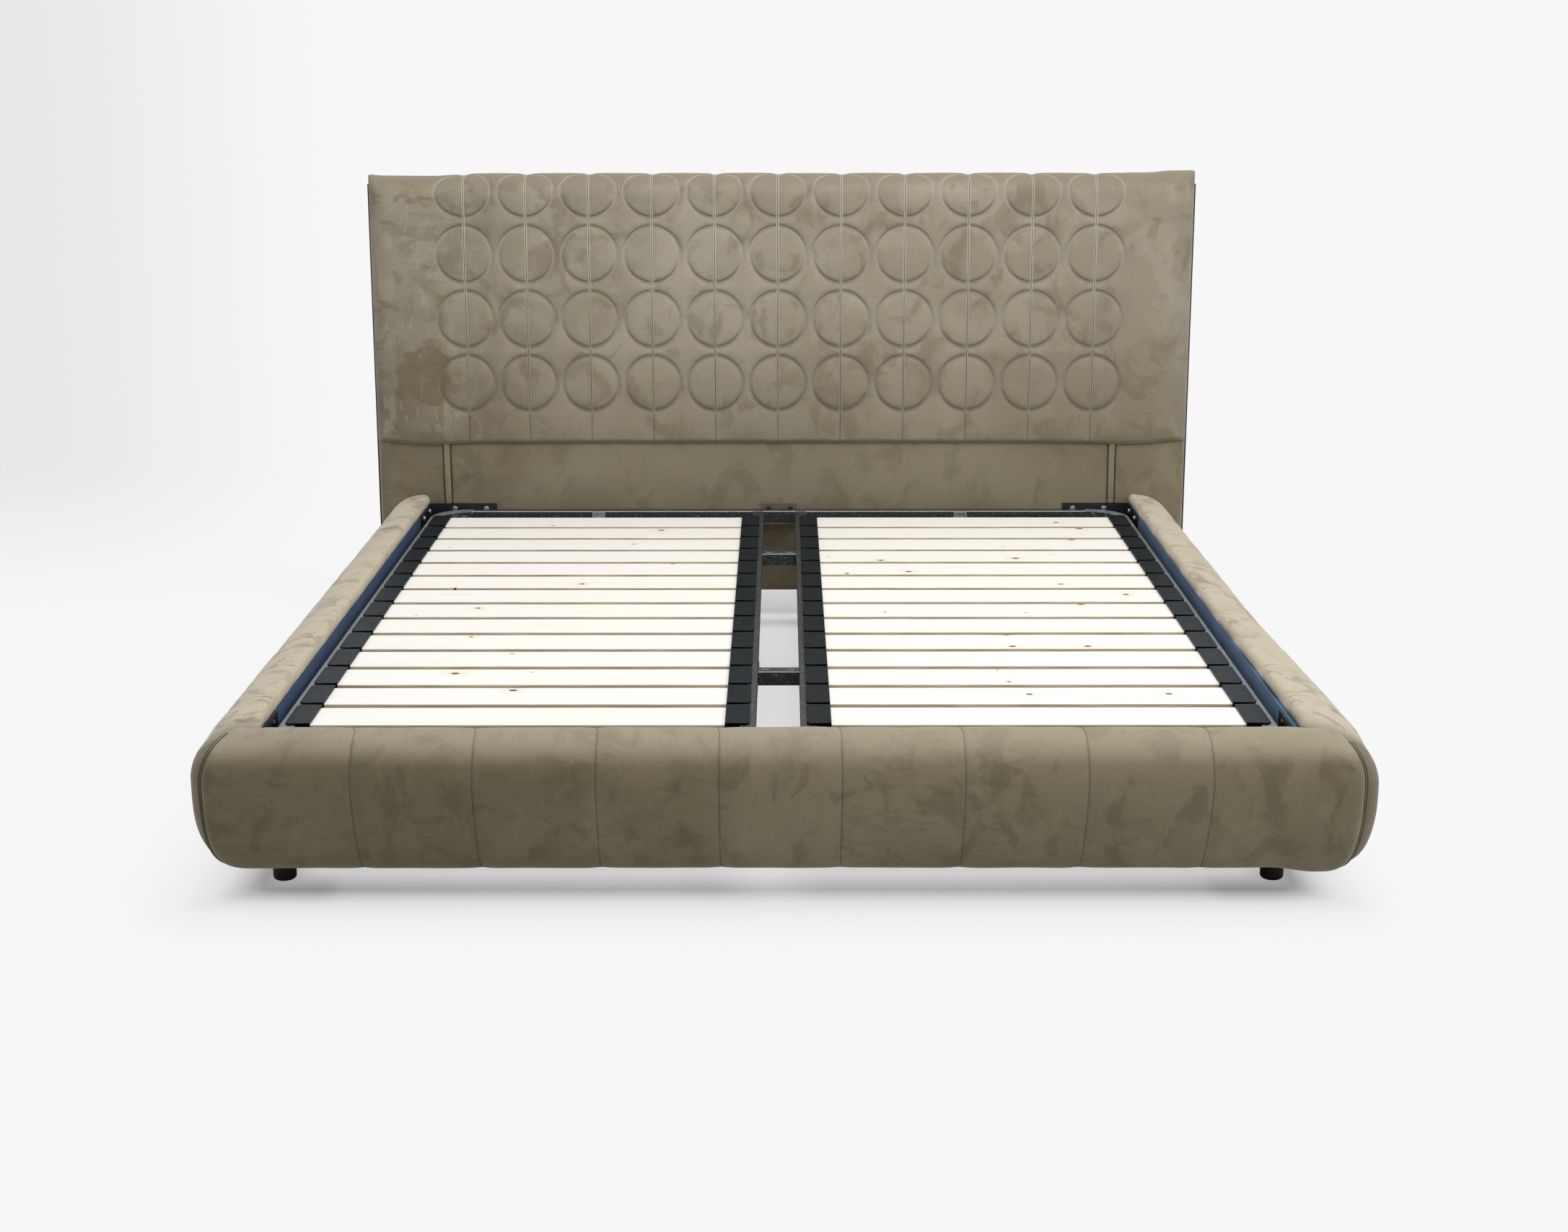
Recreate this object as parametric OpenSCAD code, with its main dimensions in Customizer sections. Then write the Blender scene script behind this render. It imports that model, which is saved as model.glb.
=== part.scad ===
// Upholstered double bed with a circle-quilted headboard, padded rails and a two-sided slatted steel base.
// Millimetres, +Z up. The origin is on the floor under the middle of the bed, +Y points at the headboard.

/* [Mattress] */
// Width of the mattress that the bed takes
mattress_w = 1800; // [1600:50:2000]
// Length of the mattress
mattress_l = 2000; // [1900:50:2200]
// Gap between the mattress and each side rail
side_gap = 5; // [2:1:12]
// Gap between the mattress and the headboard, and between it and the front rail
end_gap = 25; // [10:5:40]

/* [Rails] */
// Thickness of the front rail from its inner face to its widest point
rail_t = 108; // [95:1:130]
// Thickness of a side rail from its inner face to its widest point
side_t = 116; // [100:1:130]
// Height of the rails' bottom edge over the floor
rail_z0 = 78; // [60:1:100]
// Height of a rail from its bottom edge to its crown
rail_h = 248; // [235:1:280]
// Height of a rail's widest point over its bottom edge
bulge_h = 167; // [140:1:185]
// Distance that the front rail's bottom edge is drawn in from its widest point
foot_in = 75; // [60:1:82]
// Distance that a side rail's bottom edge is drawn in from its widest point
side_foot_in = 55; // [40:1:80]
// Distance of the rail's crown from its inner face
crown_in = 16; // [10:1:24]
// Drop from the crown to the inner edge of the cover
lip_drop = 16; // [8:1:20]
// Thickness of the boards inside the rails
board_t = 22; // [15:1:25]
// Thickness of the lining on the rails' inner faces
lining_t = 2; // [1:0.5:4]
// Distance between the sewn seams that cross the rails
rail_seam_pitch = 209; // [150:1:260]
// Width of a sewn seam's furrow
seam_w = 3; // [2:0.5:6]
// Depth of a sewn seam's furrow
seam_deep = 2.5; // [1.5:0.5:4]
// Distance that the front rail's ends stand in from the side rails' widest points
crescent = 31; // [22:1:40]

/* [Headboard] */
// Distance that the headboard stands out past each side rail's widest point
headboard_over = 30; // [15:1:60]
// Height of the headboard's front cover, along the cover
headboard_h = 1072; // [950:1:1200]
// Height of the headboard's bottom edge over the floor
headboard_z0 = 72; // [40:1:90]
// Lean of the headboard from upright, in degrees
headboard_lean = 1.4; // [0:0.1:4]
// Height of the seam between the plain panel and the quilted cushion, along the cover
panel_h = 388; // [330:1:430]
// Thickness of the padding of the plain panel
panel_pad = 20; // [12:1:30]
// Distance that the quilted cushion stands proud of the plain panel
cushion_proud = 24; // [20:1:34]
// Thickness of the headboard's wooden frame
core_t = 46; // [30:1:60]
// Thickness of the padded back
back_t = 24; // [16:1:40]
// Radius of the roll along the cushion's top edge
top_roll = 60; // [50:1:66]
// Radius of the roll along the cushion's bottom edge
bottom_roll = 12; // [10:1:14]
// Distance that the cushion draws back towards its bottom edge
cushion_tuck = 13; // [4:1:14]
// Distance over which the cushion's sides draw in
side_draw = 40; // [20:1:60]
// Distance over which the plain panel's sides draw in
panel_draw = 24; // [12:1:36]
// Radius of the piping down the headboard's sides
piping_r = 2.5; // [1.5:0.5:4]

/* [Quilting] */
// Distance between the columns of quilted circles
quilt_pitch_x = 159.5; // [152:0.5:200]
// Distance between the rows of quilted circles, along the cover
quilt_pitch_z = 163; // [152:1:175]
// Number of rows of quilted circles
quilt_rows = 4; // [2:1:4]
// Distance from the top row's centres to the cover's full height, along the cover
quilt_top = 40; // [30:1:60]
// Radius of a quilted circle
quilt_r = 70.5; // [60:0.5:74]
// Least distance from the circles' columns to the side of the cover
quilt_margin = 150; // [120:5:200]
// Width of the flat channel between a circle's two stitch lines
quilt_channel_w = 6; // [4:0.5:8]
// Depth of the quilted channels
quilt_deep = 3; // [2:0.5:4]
// Width of the twin-stitched seam down each column
column_seam_w = 6; // [4:0.5:9]
// Width of the double seams on the plain panel
strip_w = 18; // [12:1:26]
// Thickness of the double seams on the plain panel
strip_t = 2; // [1:0.5:3]
// Distance of the double seams from the headboard's sides
strip_in = 194; // [150:1:240]

/* [Slatted base] */
// Height of the base's upper side over the floor
deck_z = 289; // [270:1:300]
// Side of the base's square tubes
tube = 30; // [25:1:35]
// Wall of the base's tubes
tube_wall = 1.5; // [1.2:0.1:2.5]
// Radius of the tubes' rounded edges
tube_r = 2.5; // [1:0.5:4]
// Outer radius of the base's bent corners
deck_r = 100; // [60:5:110]
// Gap between the base and each side rail
deck_side_clear = 15.5; // [12:0.5:20]
// Gap between the base and the headboard, and between it and the front rail
deck_end_clear = 10; // [9:1:14]
// Width of the gap between the base's two halves
centre_gap = 80; // [60:5:110]
// Distance of the gap bar near the headboard from the base's head end
gap_bar_head_in = 514; // [400:1:650]
// Distance of the gap bar near the foot from the base's foot end
gap_bar_foot_in = 479; // [400:1:650]
// Width of a slat
slat_w = 109; // [60:1:112]
// Thickness of a slat
slat_t = 10; // [8:1:12]
// Gap between slats
slat_gap = 22; // [16:1:40]
// Distance of the first slat from the base's foot end
slat_foot_in = 113; // [105:1:125]
// Least distance of the last slat from the base's head end
slat_head_in = 80; // [60:1:100]

/* [Slat holders] */
// Depth of a holder's pocket along the slat
pocket_l = 25; // [18:1:32]
// Length of the flap that lies on the tube
flap_l = 19; // [12:1:22]
// Thickness of a holder's cover
cover_t = 4; // [3:0.5:6]
// Wall of a holder's pocket
pocket_wall = 3.2; // [2.5:0.1:4]
// Gap between a slat and the pocket round it
slat_clear = 0.4; // [0.2:0.1:0.8]

/* [Steel fittings] */
// Thickness of the corner brackets' plate
plate_t = 4; // [3:0.5:5]
// Length of a corner bracket along the side rail
bracket_l = 168; // [150:1:200]
// Length of a corner bracket across the bed
bracket_w = 173; // [150:1:200]
// Height of the corner brackets' upper edge over the base's upper side
bracket_up = 14; // [8:1:18]
// Width of the centre bracket
centre_bracket_w = 90; // [70:5:120]
// Diameter of the bolts' shanks
bolt_d = 8; // [6:1:10]
// Diameter of the bolts' heads
bolt_head_d = 14; // [12:1:18]
// Height of the bolts' heads
bolt_head_h = 4; // [3:0.5:5]
// Leg of the steel angles that carry the base along the side rails
ledge_leg = 35; // [30:1:45]
// Thickness of the steel angles
ledge_t = 3; // [2:0.5:4]
// Width of the clips on the head bar
clip_w = 33; // [25:1:45]

/* [Legs] */
// Diameter of the corner legs
leg_d = 42; // [36:1:46]
// Radius of the rounded lower edge of the corner legs
leg_edge_r = 7; // [4:1:10]
// Distance of a corner leg's axis from the well's side
leg_in_x = 12; // [10:1:20]
// Distance of a corner leg's axis from the well's end
leg_in_y = 120; // [60:1:130]
// Diameter of the slim legs under the middle of the base
mid_leg_d = 30; // [25:1:32]
// Wall of the slim legs
mid_leg_wall = 1.5; // [1.2:0.1:2.5]
// Height of the glides under the slim legs
glide_h = 20; // [15:1:30]

/* [Hidden] */
$fn = 48;
clear = 0.4;
eps = 1;
well_w = mattress_w + 2 * side_gap;
well_l = mattress_l + 2 * end_gap;
rail_top = rail_z0 + rail_h;
bulge_z = rail_z0 + bulge_h;
wrap_z = rail_top - lip_drop - 5;
slot_t = lining_t + board_t;
foot_r = min(foot_in, rail_t - slot_t - 4);
side_foot_r = min(side_foot_in, side_t - slot_t - 4);
head_reach = well_l / 2 + 20;
front_half_w = well_w / 2 + side_t - crescent;
front_shoulder = 52;
front_foot_in = 55;
front_fullness = 2 / 3;
side_fullness = 0.77;
front_edge_r = 34;
side_edge_r = 45;
side_end_in = 10;

headboard_w = well_w + 2 * side_t + 2 * headboard_over;

// The whole bed lies evenly about the origin, so the back's furthest point sets the shift along Y
lean = headboard_lean;
cushion_back = panel_pad + core_t;
back_y = cushion_back + back_t;
back_h = headboard_h - 6;
back_edge_r = 12;
pivot_z = deck_z - headboard_z0;
back_far = well_l / 2 + (back_y - back_edge_r) * cos(lean) + (back_h - back_edge_r - pivot_z) * sin(lean)
    + back_edge_r;
front_far = well_l / 2 + rail_t;
shift_y = (front_far - back_far) / 2;

cover_half = headboard_w / 2 - 2 * piping_r;
core_side_in = 25;
core_top_in = 45;
core_half = cover_half - core_side_in;
core_h0 = 10;
core_h1 = headboard_h - core_top_in;
panel_edge_flat = 6;
cushion_edge_flat = 5;
channel_flare = 1.5;
roll_flat = headboard_h - top_roll;
crown_x = top_roll - cushion_proud;
ring_out = quilt_r + quilt_channel_w / 2 + channel_flare;
quilt_cols = floor((2 * cover_half - 2 * quilt_margin) / quilt_pitch_x);
quilt_row_top = min(headboard_h - quilt_top, roll_flat + top_roll * PI / 2 - ring_out);
tuck_room = 22;
quilt_room = quilt_row_top - panel_h - bottom_roll - quilt_r - tuck_room;
quilt_rows_in = min(quilt_rows, floor(quilt_room / quilt_pitch_z) + 1);
low_proud = cushion_proud - cushion_tuck;
tuck_z = panel_h + bottom_roll;
tuck_h = quilt_row_top - (quilt_rows_in - 1) * quilt_pitch_z - ring_out - tuck_z;

deck_w = well_w - 2 * deck_side_clear;
deck_l = well_l - 2 * deck_end_clear;
deck_y0 = -deck_l / 2;
deck_y1 = deck_l / 2;
tube_z0 = deck_z - tube;
slat_pitch = slat_w + slat_gap;
slats = floor((deck_l - slat_foot_in - slat_head_in + slat_gap) / slat_pitch);
slat_y0 = deck_y0 + slat_foot_in + slat_w / 2;
outer_face = deck_w / 2 - tube;
inner_face = centre_gap / 2 + tube;
slat_x0 = inner_face + pocket_wall + slat_clear;
slat_x1 = outer_face - pocket_wall - slat_clear;
slat_top = deck_z - slat_clear;
holder_w = slat_w + 2 * (slat_clear + pocket_wall);
holder_flare = 2;
gap_bar_ys = [deck_y1 - gap_bar_head_in, deck_y0 + gap_bar_foot_in];
gap_bar_h = 28;

bracket_top = deck_z + bracket_up;
bracket_bottom = rail_z0 - plate_t;
shelf_in = 136;
rail_bolt_in = [40, 132];
board_bolt_in = [65, 146];
bolt_z = min(deck_z, wrap_z - 12);
bolt_clear = 0.2;
rail_bolt_l = plate_t + slot_t - 5;
core_bolt_l = plate_t + panel_pad + 16;
nut_w = 13;
nut_h = 6;
stud_d = 8;
mid_leg_x = centre_gap / 2 + 26;
mid_plate = 60;
glide_d = mid_leg_d + 6;
strap_w = 30;
strap_t = 4;
strap_in = 51;
strap_fall_in = 69;
strap_high = outer_face - strap_fall_in;
strap_z = deck_z - tube_r;
strap_drop = 24;

// Points along part of an ellipse, from angle a0 to angle a1
function curve(cx, cy, rx, ry, a0, a1, n = 10) =
    [for (i = [0 : n]) let (a = a0 + (a1 - a0) * i / n) [cx + rx * cos(a), cy + ry * sin(a)]];

// Points of the lower right quarter of a fuller curve: k is 1 for an ellipse and less for a squarer shape
function full_curve(cx, cy, rx, ry, k, n = 12) =
    [for (i = [0 : n]) let (a = 90 * i / n) [cx + rx * pow(sin(a), k), cy - ry * pow(cos(a), k)]];

// Section of a padded rail: x is the distance from its inner face, y the height. g moves the outside in
function section_of(g, t, foot, k) = concat(
    [[0, rail_z0 + g]],
    full_curve(t - foot, bulge_z, foot - g, bulge_h - g, k),
    curve(crown_in, bulge_z, t - crown_in - g, rail_h - bulge_h - g, 6, 90, 10),
    curve(crown_in, rail_top - lip_drop, crown_in, lip_drop - g, 105, 180, 4)
);
function rail_section(g = 0) = section_of(g, rail_t, foot_r, 1);
function side_section(g = 0) = section_of(g, side_t, side_foot_r, side_fullness);

// Outline of the front rail seen from the front, with D-shaped ends
function front_outline(g = 0) = let (half = concat(
    full_curve(front_half_w - front_foot_in, bulge_z, front_foot_in - g, bulge_h + eps, front_fullness),
    curve(front_half_w - front_shoulder, bulge_z, front_shoulder - g, rail_h - bulge_h + eps, 8, 90, 9)
)) concat(half, [for (i = [len(half) - 1 : -1 : 0]) [-half[i][0], half[i][1]]]);

// Plan of a rail corner block: a rectangle whose two front corners are rounded
function rounded_front(half_w, front_y, back_y, r) = concat(
    [[half_w, back_y], [-half_w, back_y]],
    curve(-half_w + r, front_y + r, r, r, 180, 270, 8),
    curve(half_w - r, front_y + r, r, r, 270, 360, 8)
);

// Section of the quilted cushion: x runs back from the plain panel's face, y runs up the cover
function cushion_section(g = 0) = concat(
    [[cushion_back, panel_h], [bottom_roll - low_proud, panel_h]],
    curve(bottom_roll - low_proud, tuck_z, bottom_roll - g, bottom_roll, 260, 180, 6),
    [for (i = [1 : 8]) [g - low_proud - cushion_tuck * pow(sin(i * 11.25), 2), tuck_z + tuck_h * i / 8]],
    curve(crown_x, roll_flat, top_roll - g, top_roll - g, 180, 90, 14),
    curve(crown_x, headboard_h - 14, cushion_back - crown_x, 14 - g, 75, 0, 5)
);

// Height on the cover of a point that lies s along it, where it rolls over the top
function rolled(s) = s < roll_flat ? s : roll_flat + top_roll * sin((s - roll_flat) / top_roll * 180 / PI);
function rolled_circle(r, s0) = [for (i = [0 : 47]) let (a = i * 7.5) [r * cos(a), rolled(s0 + r * sin(a))]];

module placed() {
    translate([0, shift_y, 0]) children();
}

module left() {
    mirror([1, 0, 0]) children();
}

module each_side() {
    children();
    left() children();
}

// The plain panel's face crosses the well's end at the height of the base
module on_headboard() {
    translate([0, well_l / 2, deck_z]) rotate([-lean, 0, 0]) translate([0, 0, -pivot_z]) children();
}

module along_x(points, x0, x1) {
    translate([x0, 0, 0]) rotate([90, 0, 90]) linear_extrude(height = x1 - x0) polygon(points);
}

module along_y(points, y0, y1) {
    translate([0, y1, 0]) rotate([90, 0, 0]) linear_extrude(height = y1 - y0) polygon(points);
}

module block(x0, x1, y0, y1, z0, z1) {
    translate([x0, y0, z0]) cube([x1 - x0, y1 - y0, z1 - z0]);
}

module behind_face(gap) {
    on_headboard() block(-headboard_w, headboard_w, -gap, 4 * back_y, -headboard_z0, headboard_h);
}

// Rails

function mirrored_depth(points, y) = [for (i = [len(points) - 1 : -1 : 0]) [y - points[i][0], points[i][1]]];

module front_bolster(g = 0, end_in = 0) {
    half = well_w / 2 + side_t;
    along_x(mirrored_depth(rail_section(g + end_in), -well_l / 2), -half, half);
}

module front_envelope(g = 0) {
    intersection() {
        front_bolster(g);
        along_y(front_outline(g), -well_l / 2 - rail_t - eps, -well_l / 2 + eps);
        translate([0, 0, rail_z0 - eps]) linear_extrude(height = rail_h + 2 * eps)
            polygon(rounded_front(front_half_w - g, g - well_l / 2 - rail_t, -g - well_l / 2, front_edge_r));
    }
}

module side_envelope() {
    front_y = -well_l / 2 - rail_t + side_end_in;
    out_x = well_w / 2 + side_t;
    z0 = rail_z0 - eps;
    intersection() {
        translate([well_w / 2, 0, 0]) along_y(side_section(), front_y, head_reach);
        union() {
            along_x(mirrored_depth(rail_section(side_end_in), -well_l / 2), 0, out_x + eps);
            block(0, out_x + eps, -well_l / 2 - crown_in, head_reach, z0, rail_top + eps);
        }
        translate([0, 0, z0]) linear_extrude(height = rail_h + 2 * eps)
            polygon(rounded_front(out_x, front_y, head_reach, side_edge_r));
    }
}

module seam_furrow(outside, bottom) {
    linear_extrude(height = seam_w, center = true) difference() {
        polygon(outside);
        polygon(bottom);
        translate([-eps, 0]) square([slot_t + eps, wrap_z]);
    }
}

module side_rail_cushion() {
    seams = floor((well_l / 2 - 60) / rail_seam_pitch);
    color("#8d8368") difference() {
        side_envelope();
        front_envelope(-clear);
        block(0, well_w / 2 + slot_t, -well_l, well_l, 0, wrap_z);
        behind_face(clear);
        for (i = [-seams : seams])
            translate([well_w / 2, i * rail_seam_pitch, 0]) rotate([90, 0, 0])
                seam_furrow(side_section(-2), side_section(seam_deep));
    }
}

module side_rail_board() {
    color("#b08d5b") difference() {
        block(well_w / 2 + lining_t, well_w / 2 + slot_t, -well_l / 2 - slot_t, head_reach, rail_z0, wrap_z);
        behind_face(clear);
        rail_bolt_places() bolt_hole();
    }
}

module side_rail_lining() {
    color("#46566b") difference() {
        block(well_w / 2, well_w / 2 + lining_t, -well_l / 2 - lining_t, head_reach, rail_z0, wrap_z);
        behind_face(clear);
        rail_bolt_places() bolt_hole();
    }
}

module front_rail_cushion() {
    seams = floor((front_half_w - 80) / rail_seam_pitch - 0.5);
    color("#857b60") difference() {
        front_envelope();
        block(-well_w / 2 - slot_t, well_w / 2 + slot_t, -well_l / 2 - slot_t, -well_l / 2 + eps, 0, wrap_z);
        for (i = [-seams - 0.5 : seams + 0.5])
            translate([i * rail_seam_pitch, -well_l / 2, 0]) rotate([90, 0, -90])
                seam_furrow(rail_section(-2), rail_section(seam_deep));
    }
}

module front_rail_board() {
    half = well_w / 2 + lining_t;
    color("#b08d5b") difference() {
        block(-half, half, -well_l / 2 - slot_t, -well_l / 2 - lining_t, rail_z0, wrap_z);
        each_side() foot_bolt_places() bolt_hole();
    }
}

module front_rail_lining() {
    half = well_w / 2;
    color("#46566b") difference() {
        block(-half, half, -well_l / 2 - lining_t, -well_l / 2, rail_z0, wrap_z);
        each_side() foot_bolt_places() bolt_hole();
    }
}

// Headboard

module core_space() {
    block(-core_half, core_half, panel_pad, cushion_back, core_h0, core_h1);
}

module headboard_frame() {
    color("#b08d5b") difference() {
        on_headboard() core_space();
        each_side() head_bolt_places() bolt_hole();
        centre_bolt_places() bolt_hole();
    }
}

module headboard_plain_panel() {
    draw = panel_draw;
    depth = cushion_back - panel_edge_flat;
    plan = concat(
        [[cover_half, cushion_back], [-cover_half, cushion_back]],
        curve(-cover_half + draw, depth, draw, depth, 180, 270, 10),
        curve(cover_half - draw, depth, draw, depth, 270, 360, 10)
    );
    color("#857b60") difference() {
        on_headboard() linear_extrude(height = panel_h) polygon(plan);
        on_headboard() core_space();
        each_side() head_bolt_places() bolt_hole();
        centre_bolt_places() bolt_hole();
    }
}

module quilt_ring() {
    half = quilt_channel_w / 2;
    rotate([90, 0, 0]) rotate_extrude() translate([quilt_r, 0])
        polygon([[-half, -quilt_deep], [half, -quilt_deep],
                 [half + channel_flare, eps], [-half - channel_flare, eps]]);
}

module rolled_ring(s0) {
    half_w = (quilt_channel_w + channel_flare) / 2;
    translate([0, crown_x - 1, 0]) rotate([90, 0, 0])
        linear_extrude(height = top_roll + eps) difference() {
            polygon(rolled_circle(quilt_r + half_w, s0));
            polygon(rolled_circle(quilt_r - half_w, s0));
        }
}

module cushion_skin(x0, x1) {
    difference() {
        along_x(cushion_section(-2), x0, x1);
        along_x(cushion_section(quilt_deep), x0 - eps, x1 + eps);
    }
}

module headboard_quilted_cushion() {
    depth = cushion_back + cushion_proud - cushion_edge_flat;
    plan = concat(
        [[cover_half, cushion_back], [-cover_half, cushion_back]],
        curve(-cover_half + side_draw, depth - cushion_proud, side_draw, depth, 180, 270, 12),
        curve(cover_half - side_draw, depth - cushion_proud, side_draw, depth, 270, 360, 12)
    );
    xs = [for (c = [0 : quilt_cols - 1]) (c - (quilt_cols - 1) / 2) * quilt_pitch_x];
    color("#948a6f") on_headboard() difference() {
        intersection() {
            along_x(cushion_section(), -cover_half, cover_half);
            linear_extrude(height = headboard_h + eps) polygon(plan);
        }
        core_space();
        for (x = xs) {
            intersection() {
                cushion_skin(x - quilt_r - 10, x + quilt_r + 10);
                translate([x, 0, 0]) rolled_ring(quilt_row_top);
            }
            cushion_skin(x - column_seam_w / 2, x + column_seam_w / 2);
            for (row = [1 : quilt_rows_in - 1])
                translate([x, -cushion_proud, quilt_row_top - row * quilt_pitch_z]) quilt_ring();
        }
    }
}

module headboard_back() {
    r = back_edge_r;
    half = cover_half + piping_r;
    section = concat(
        [[cushion_back, 0], [back_y, 0]],
        curve(back_y - r, back_h - r, r, r, 0, 90, 8),
        [[cushion_back, back_h]]
    );
    plan = concat(
        [[-half, cushion_back], [half, cushion_back]],
        curve(half - r, back_y - r, r, r, 0, 90, 6),
        curve(-half + r, back_y - r, r, r, 90, 180, 6)
    );
    color("#6f6650") on_headboard() intersection() {
        along_x(section, -half, half);
        linear_extrude(height = back_h) polygon(plan);
    }
}

module double_seam() {
    x = headboard_w / 2 - strip_in;
    z0 = bracket_top - headboard_z0 + 4;
    color("#7a7158") on_headboard() translate([x, 0, z0]) linear_extrude(height = panel_h - z0)
        polygon([[-strip_w / 2, 0], [-strip_w / 2 + 1, -strip_t], [-1.5, -strip_t], [0, -strip_t / 2],
                 [1.5, -strip_t], [strip_w / 2 - 1, -strip_t], [strip_w / 2, 0]]);
}

module side_piping() {
    color("#3d382b") on_headboard() translate([cover_half + piping_r, cushion_back - piping_r, 0])
        cylinder(r = piping_r, h = headboard_h - 30);
}

// Bolts. Each place has its shank along +Z into the board and its head's underside at the origin

module bolt() {
    color("#d9d9d6") rotate_extrude()
        polygon(concat([[0, -bolt_head_h]],
            curve(bolt_head_d / 2 - 2, -bolt_head_h + 2, 2, 2, -90, 0, 5),
            [[bolt_head_d / 2, 0], [bolt_d / 2, 0], [bolt_d / 2, $bolt_l], [0, $bolt_l]]));
}

module bolt_hole() {
    translate([0, 0, -bolt_head_h]) cylinder(d = bolt_d + 2 * bolt_clear, h = $bolt_l + bolt_head_h + 0.5);
}

// Through the rail plates of the two brackets on one side
module rail_bolt_places() {
    $bolt_l = rail_bolt_l;
    for (end = [-1, 1], d = rail_bolt_in)
        translate([well_w / 2 - plate_t, end * (well_l / 2 - d), bolt_z]) rotate([0, 90, 0]) children();
}

// Through a foot bracket into the front rail's board
module foot_bolt_places() {
    $bolt_l = rail_bolt_l;
    for (d = board_bolt_in)
        translate([well_w / 2 - d, -well_l / 2 + plate_t, bolt_z]) rotate([90, 0, 0]) children();
}

// Through a head bracket into the headboard's frame
module head_bolt_places() {
    $bolt_l = core_bolt_l;
    for (d = board_bolt_in)
        on_headboard() translate([well_w / 2 - d, -plate_t, bolt_z - headboard_z0])
            rotate([-90, 0, 0]) children();
}

module centre_bolt_places() {
    $bolt_l = core_bolt_l;
    for (x = [-28, 28])
        on_headboard() translate([x, -plate_t, bolt_z - headboard_z0]) rotate([-90, 0, 0]) children();
}

module rail_bolts() {
    each_side() {
        rail_bolt_places() bolt();
        foot_bolt_places() bolt();
    }
}

module headboard_bolts() {
    each_side() head_bolt_places() bolt();
    centre_bolt_places() bolt();
}

// Corner brackets: an upright plate on each board, a shelf for the base and a flange for the leg

module leg_place(end) {
    translate([well_w / 2 - leg_in_x, end * (well_l / 2 - leg_in_y), 0]) children();
}

module stud_hole() {
    translate([0, 0, bracket_bottom - eps]) cylinder(d = stud_d + 2 * bolt_clear, h = plate_t + 2 * eps);
}

module bracket_flats(end) {
    y0 = end > 0 ? well_l / 2 - bracket_l : -well_l / 2 + plate_t;
    y1 = end > 0 ? well_l / 2 - plate_t : -well_l / 2 + bracket_l;
    block(well_w / 2 - shelf_in, well_w / 2 - plate_t, y0, y1, tube_z0 - plate_t, tube_z0);
    block(well_w / 2 - shelf_in, well_w / 2 + slot_t - 2, y0, y1, bracket_bottom, rail_z0);
    block(well_w / 2 - plate_t, well_w / 2, y0 - (end < 0 ? plate_t : 0), y1, bracket_bottom, bracket_top);
}

module corner_bracket_head() {
    low = bracket_bottom - headboard_z0;
    high = bracket_top - headboard_z0;
    color("#1d1f21") difference() {
        union() {
            bracket_flats(1);
            on_headboard() block(well_w / 2 - bracket_w, well_w / 2, -plate_t, 0, low, high);
        }
        behind_face(0);
        rail_bolt_places() bolt_hole();
        head_bolt_places() bolt_hole();
        leg_place(1) stud_hole();
    }
}

module corner_bracket_foot() {
    y = -well_l / 2;
    color("#1d1f21") difference() {
        union() {
            bracket_flats(-1);
            block(well_w / 2 - bracket_w, well_w / 2, y, y + plate_t, bracket_bottom, bracket_top);
        }
        rail_bolt_places() bolt_hole();
        foot_bolt_places() bolt_hole();
        leg_place(-1) stud_hole();
    }
}

module centre_bracket() {
    half = centre_bracket_w / 2;
    low = tube_z0 - plate_t;
    color("#1d1f21") difference() {
        union() {
            on_headboard() block(-half, half, -plate_t, 0, low - headboard_z0, bracket_top - headboard_z0);
            block(-half, half, deck_y1 - tube, well_l / 2 - plate_t / 2, low, tube_z0);
        }
        behind_face(0);
        centre_bolt_places() bolt_hole();
    }
}

module side_ledge() {
    y1 = well_l / 2 - bracket_l - 3;
    x1 = well_w / 2;
    color("#1d1f21") {
        block(x1 - ledge_leg, x1, -y1, y1, tube_z0 - ledge_t, tube_z0);
        block(x1 - ledge_t, x1, -y1, y1, tube_z0 - ledge_leg, tube_z0);
    }
}

// Legs

module corner_leg(end) {
    r = leg_d / 2;
    top = bracket_bottom;
    stud_top = rail_z0 + nut_h + 4;
    color("#141414") leg_place(end) rotate_extrude()
        polygon(concat([[0, 0]], curve(r - leg_edge_r, leg_edge_r, leg_edge_r, leg_edge_r, -90, 0, 8),
            [[r, top], [stud_d / 2, top], [stud_d / 2, stud_top], [0, stud_top]]));
}

module leg_nuts() {
    color("#c9c9c6") each_side() for (end = [-1, 1])
        leg_place(end) translate([0, 0, rail_z0]) difference() {
            cylinder(d = nut_w / cos(30), h = nut_h, $fn = 6);
            translate([0, 0, -eps]) cylinder(d = stud_d + 2 * bolt_clear, h = nut_h + 2 * eps);
        }
}

module middle_leg(y) {
    top = tube_z0 - plate_t;
    x0 = centre_gap / 2;
    color("#1d1f21") {
        block(x0, x0 + mid_plate, y - mid_plate / 2, y + mid_plate / 2, top, tube_z0);
        translate([mid_leg_x, y, glide_h]) difference() {
            cylinder(d = mid_leg_d, h = top - glide_h + 0.01);
            translate([0, 0, -eps]) cylinder(d = mid_leg_d - 2 * mid_leg_wall, h = top - glide_h);
        }
    }
}

module middle_leg_glides() {
    plug_r = mid_leg_d / 2 - mid_leg_wall - bolt_clear;
    r = glide_d / 2;
    color("#141414") each_side() for (y = gap_bar_ys)
        translate([mid_leg_x, y, 0]) rotate_extrude()
            polygon(concat([[0, 0]], curve(r - 5, 5, 5, 5, -90, 0, 6),
                [[r, glide_h], [plug_r, glide_h], [plug_r, glide_h + 15], [0, glide_h + 15]]));
}

// Slatted base

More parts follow.
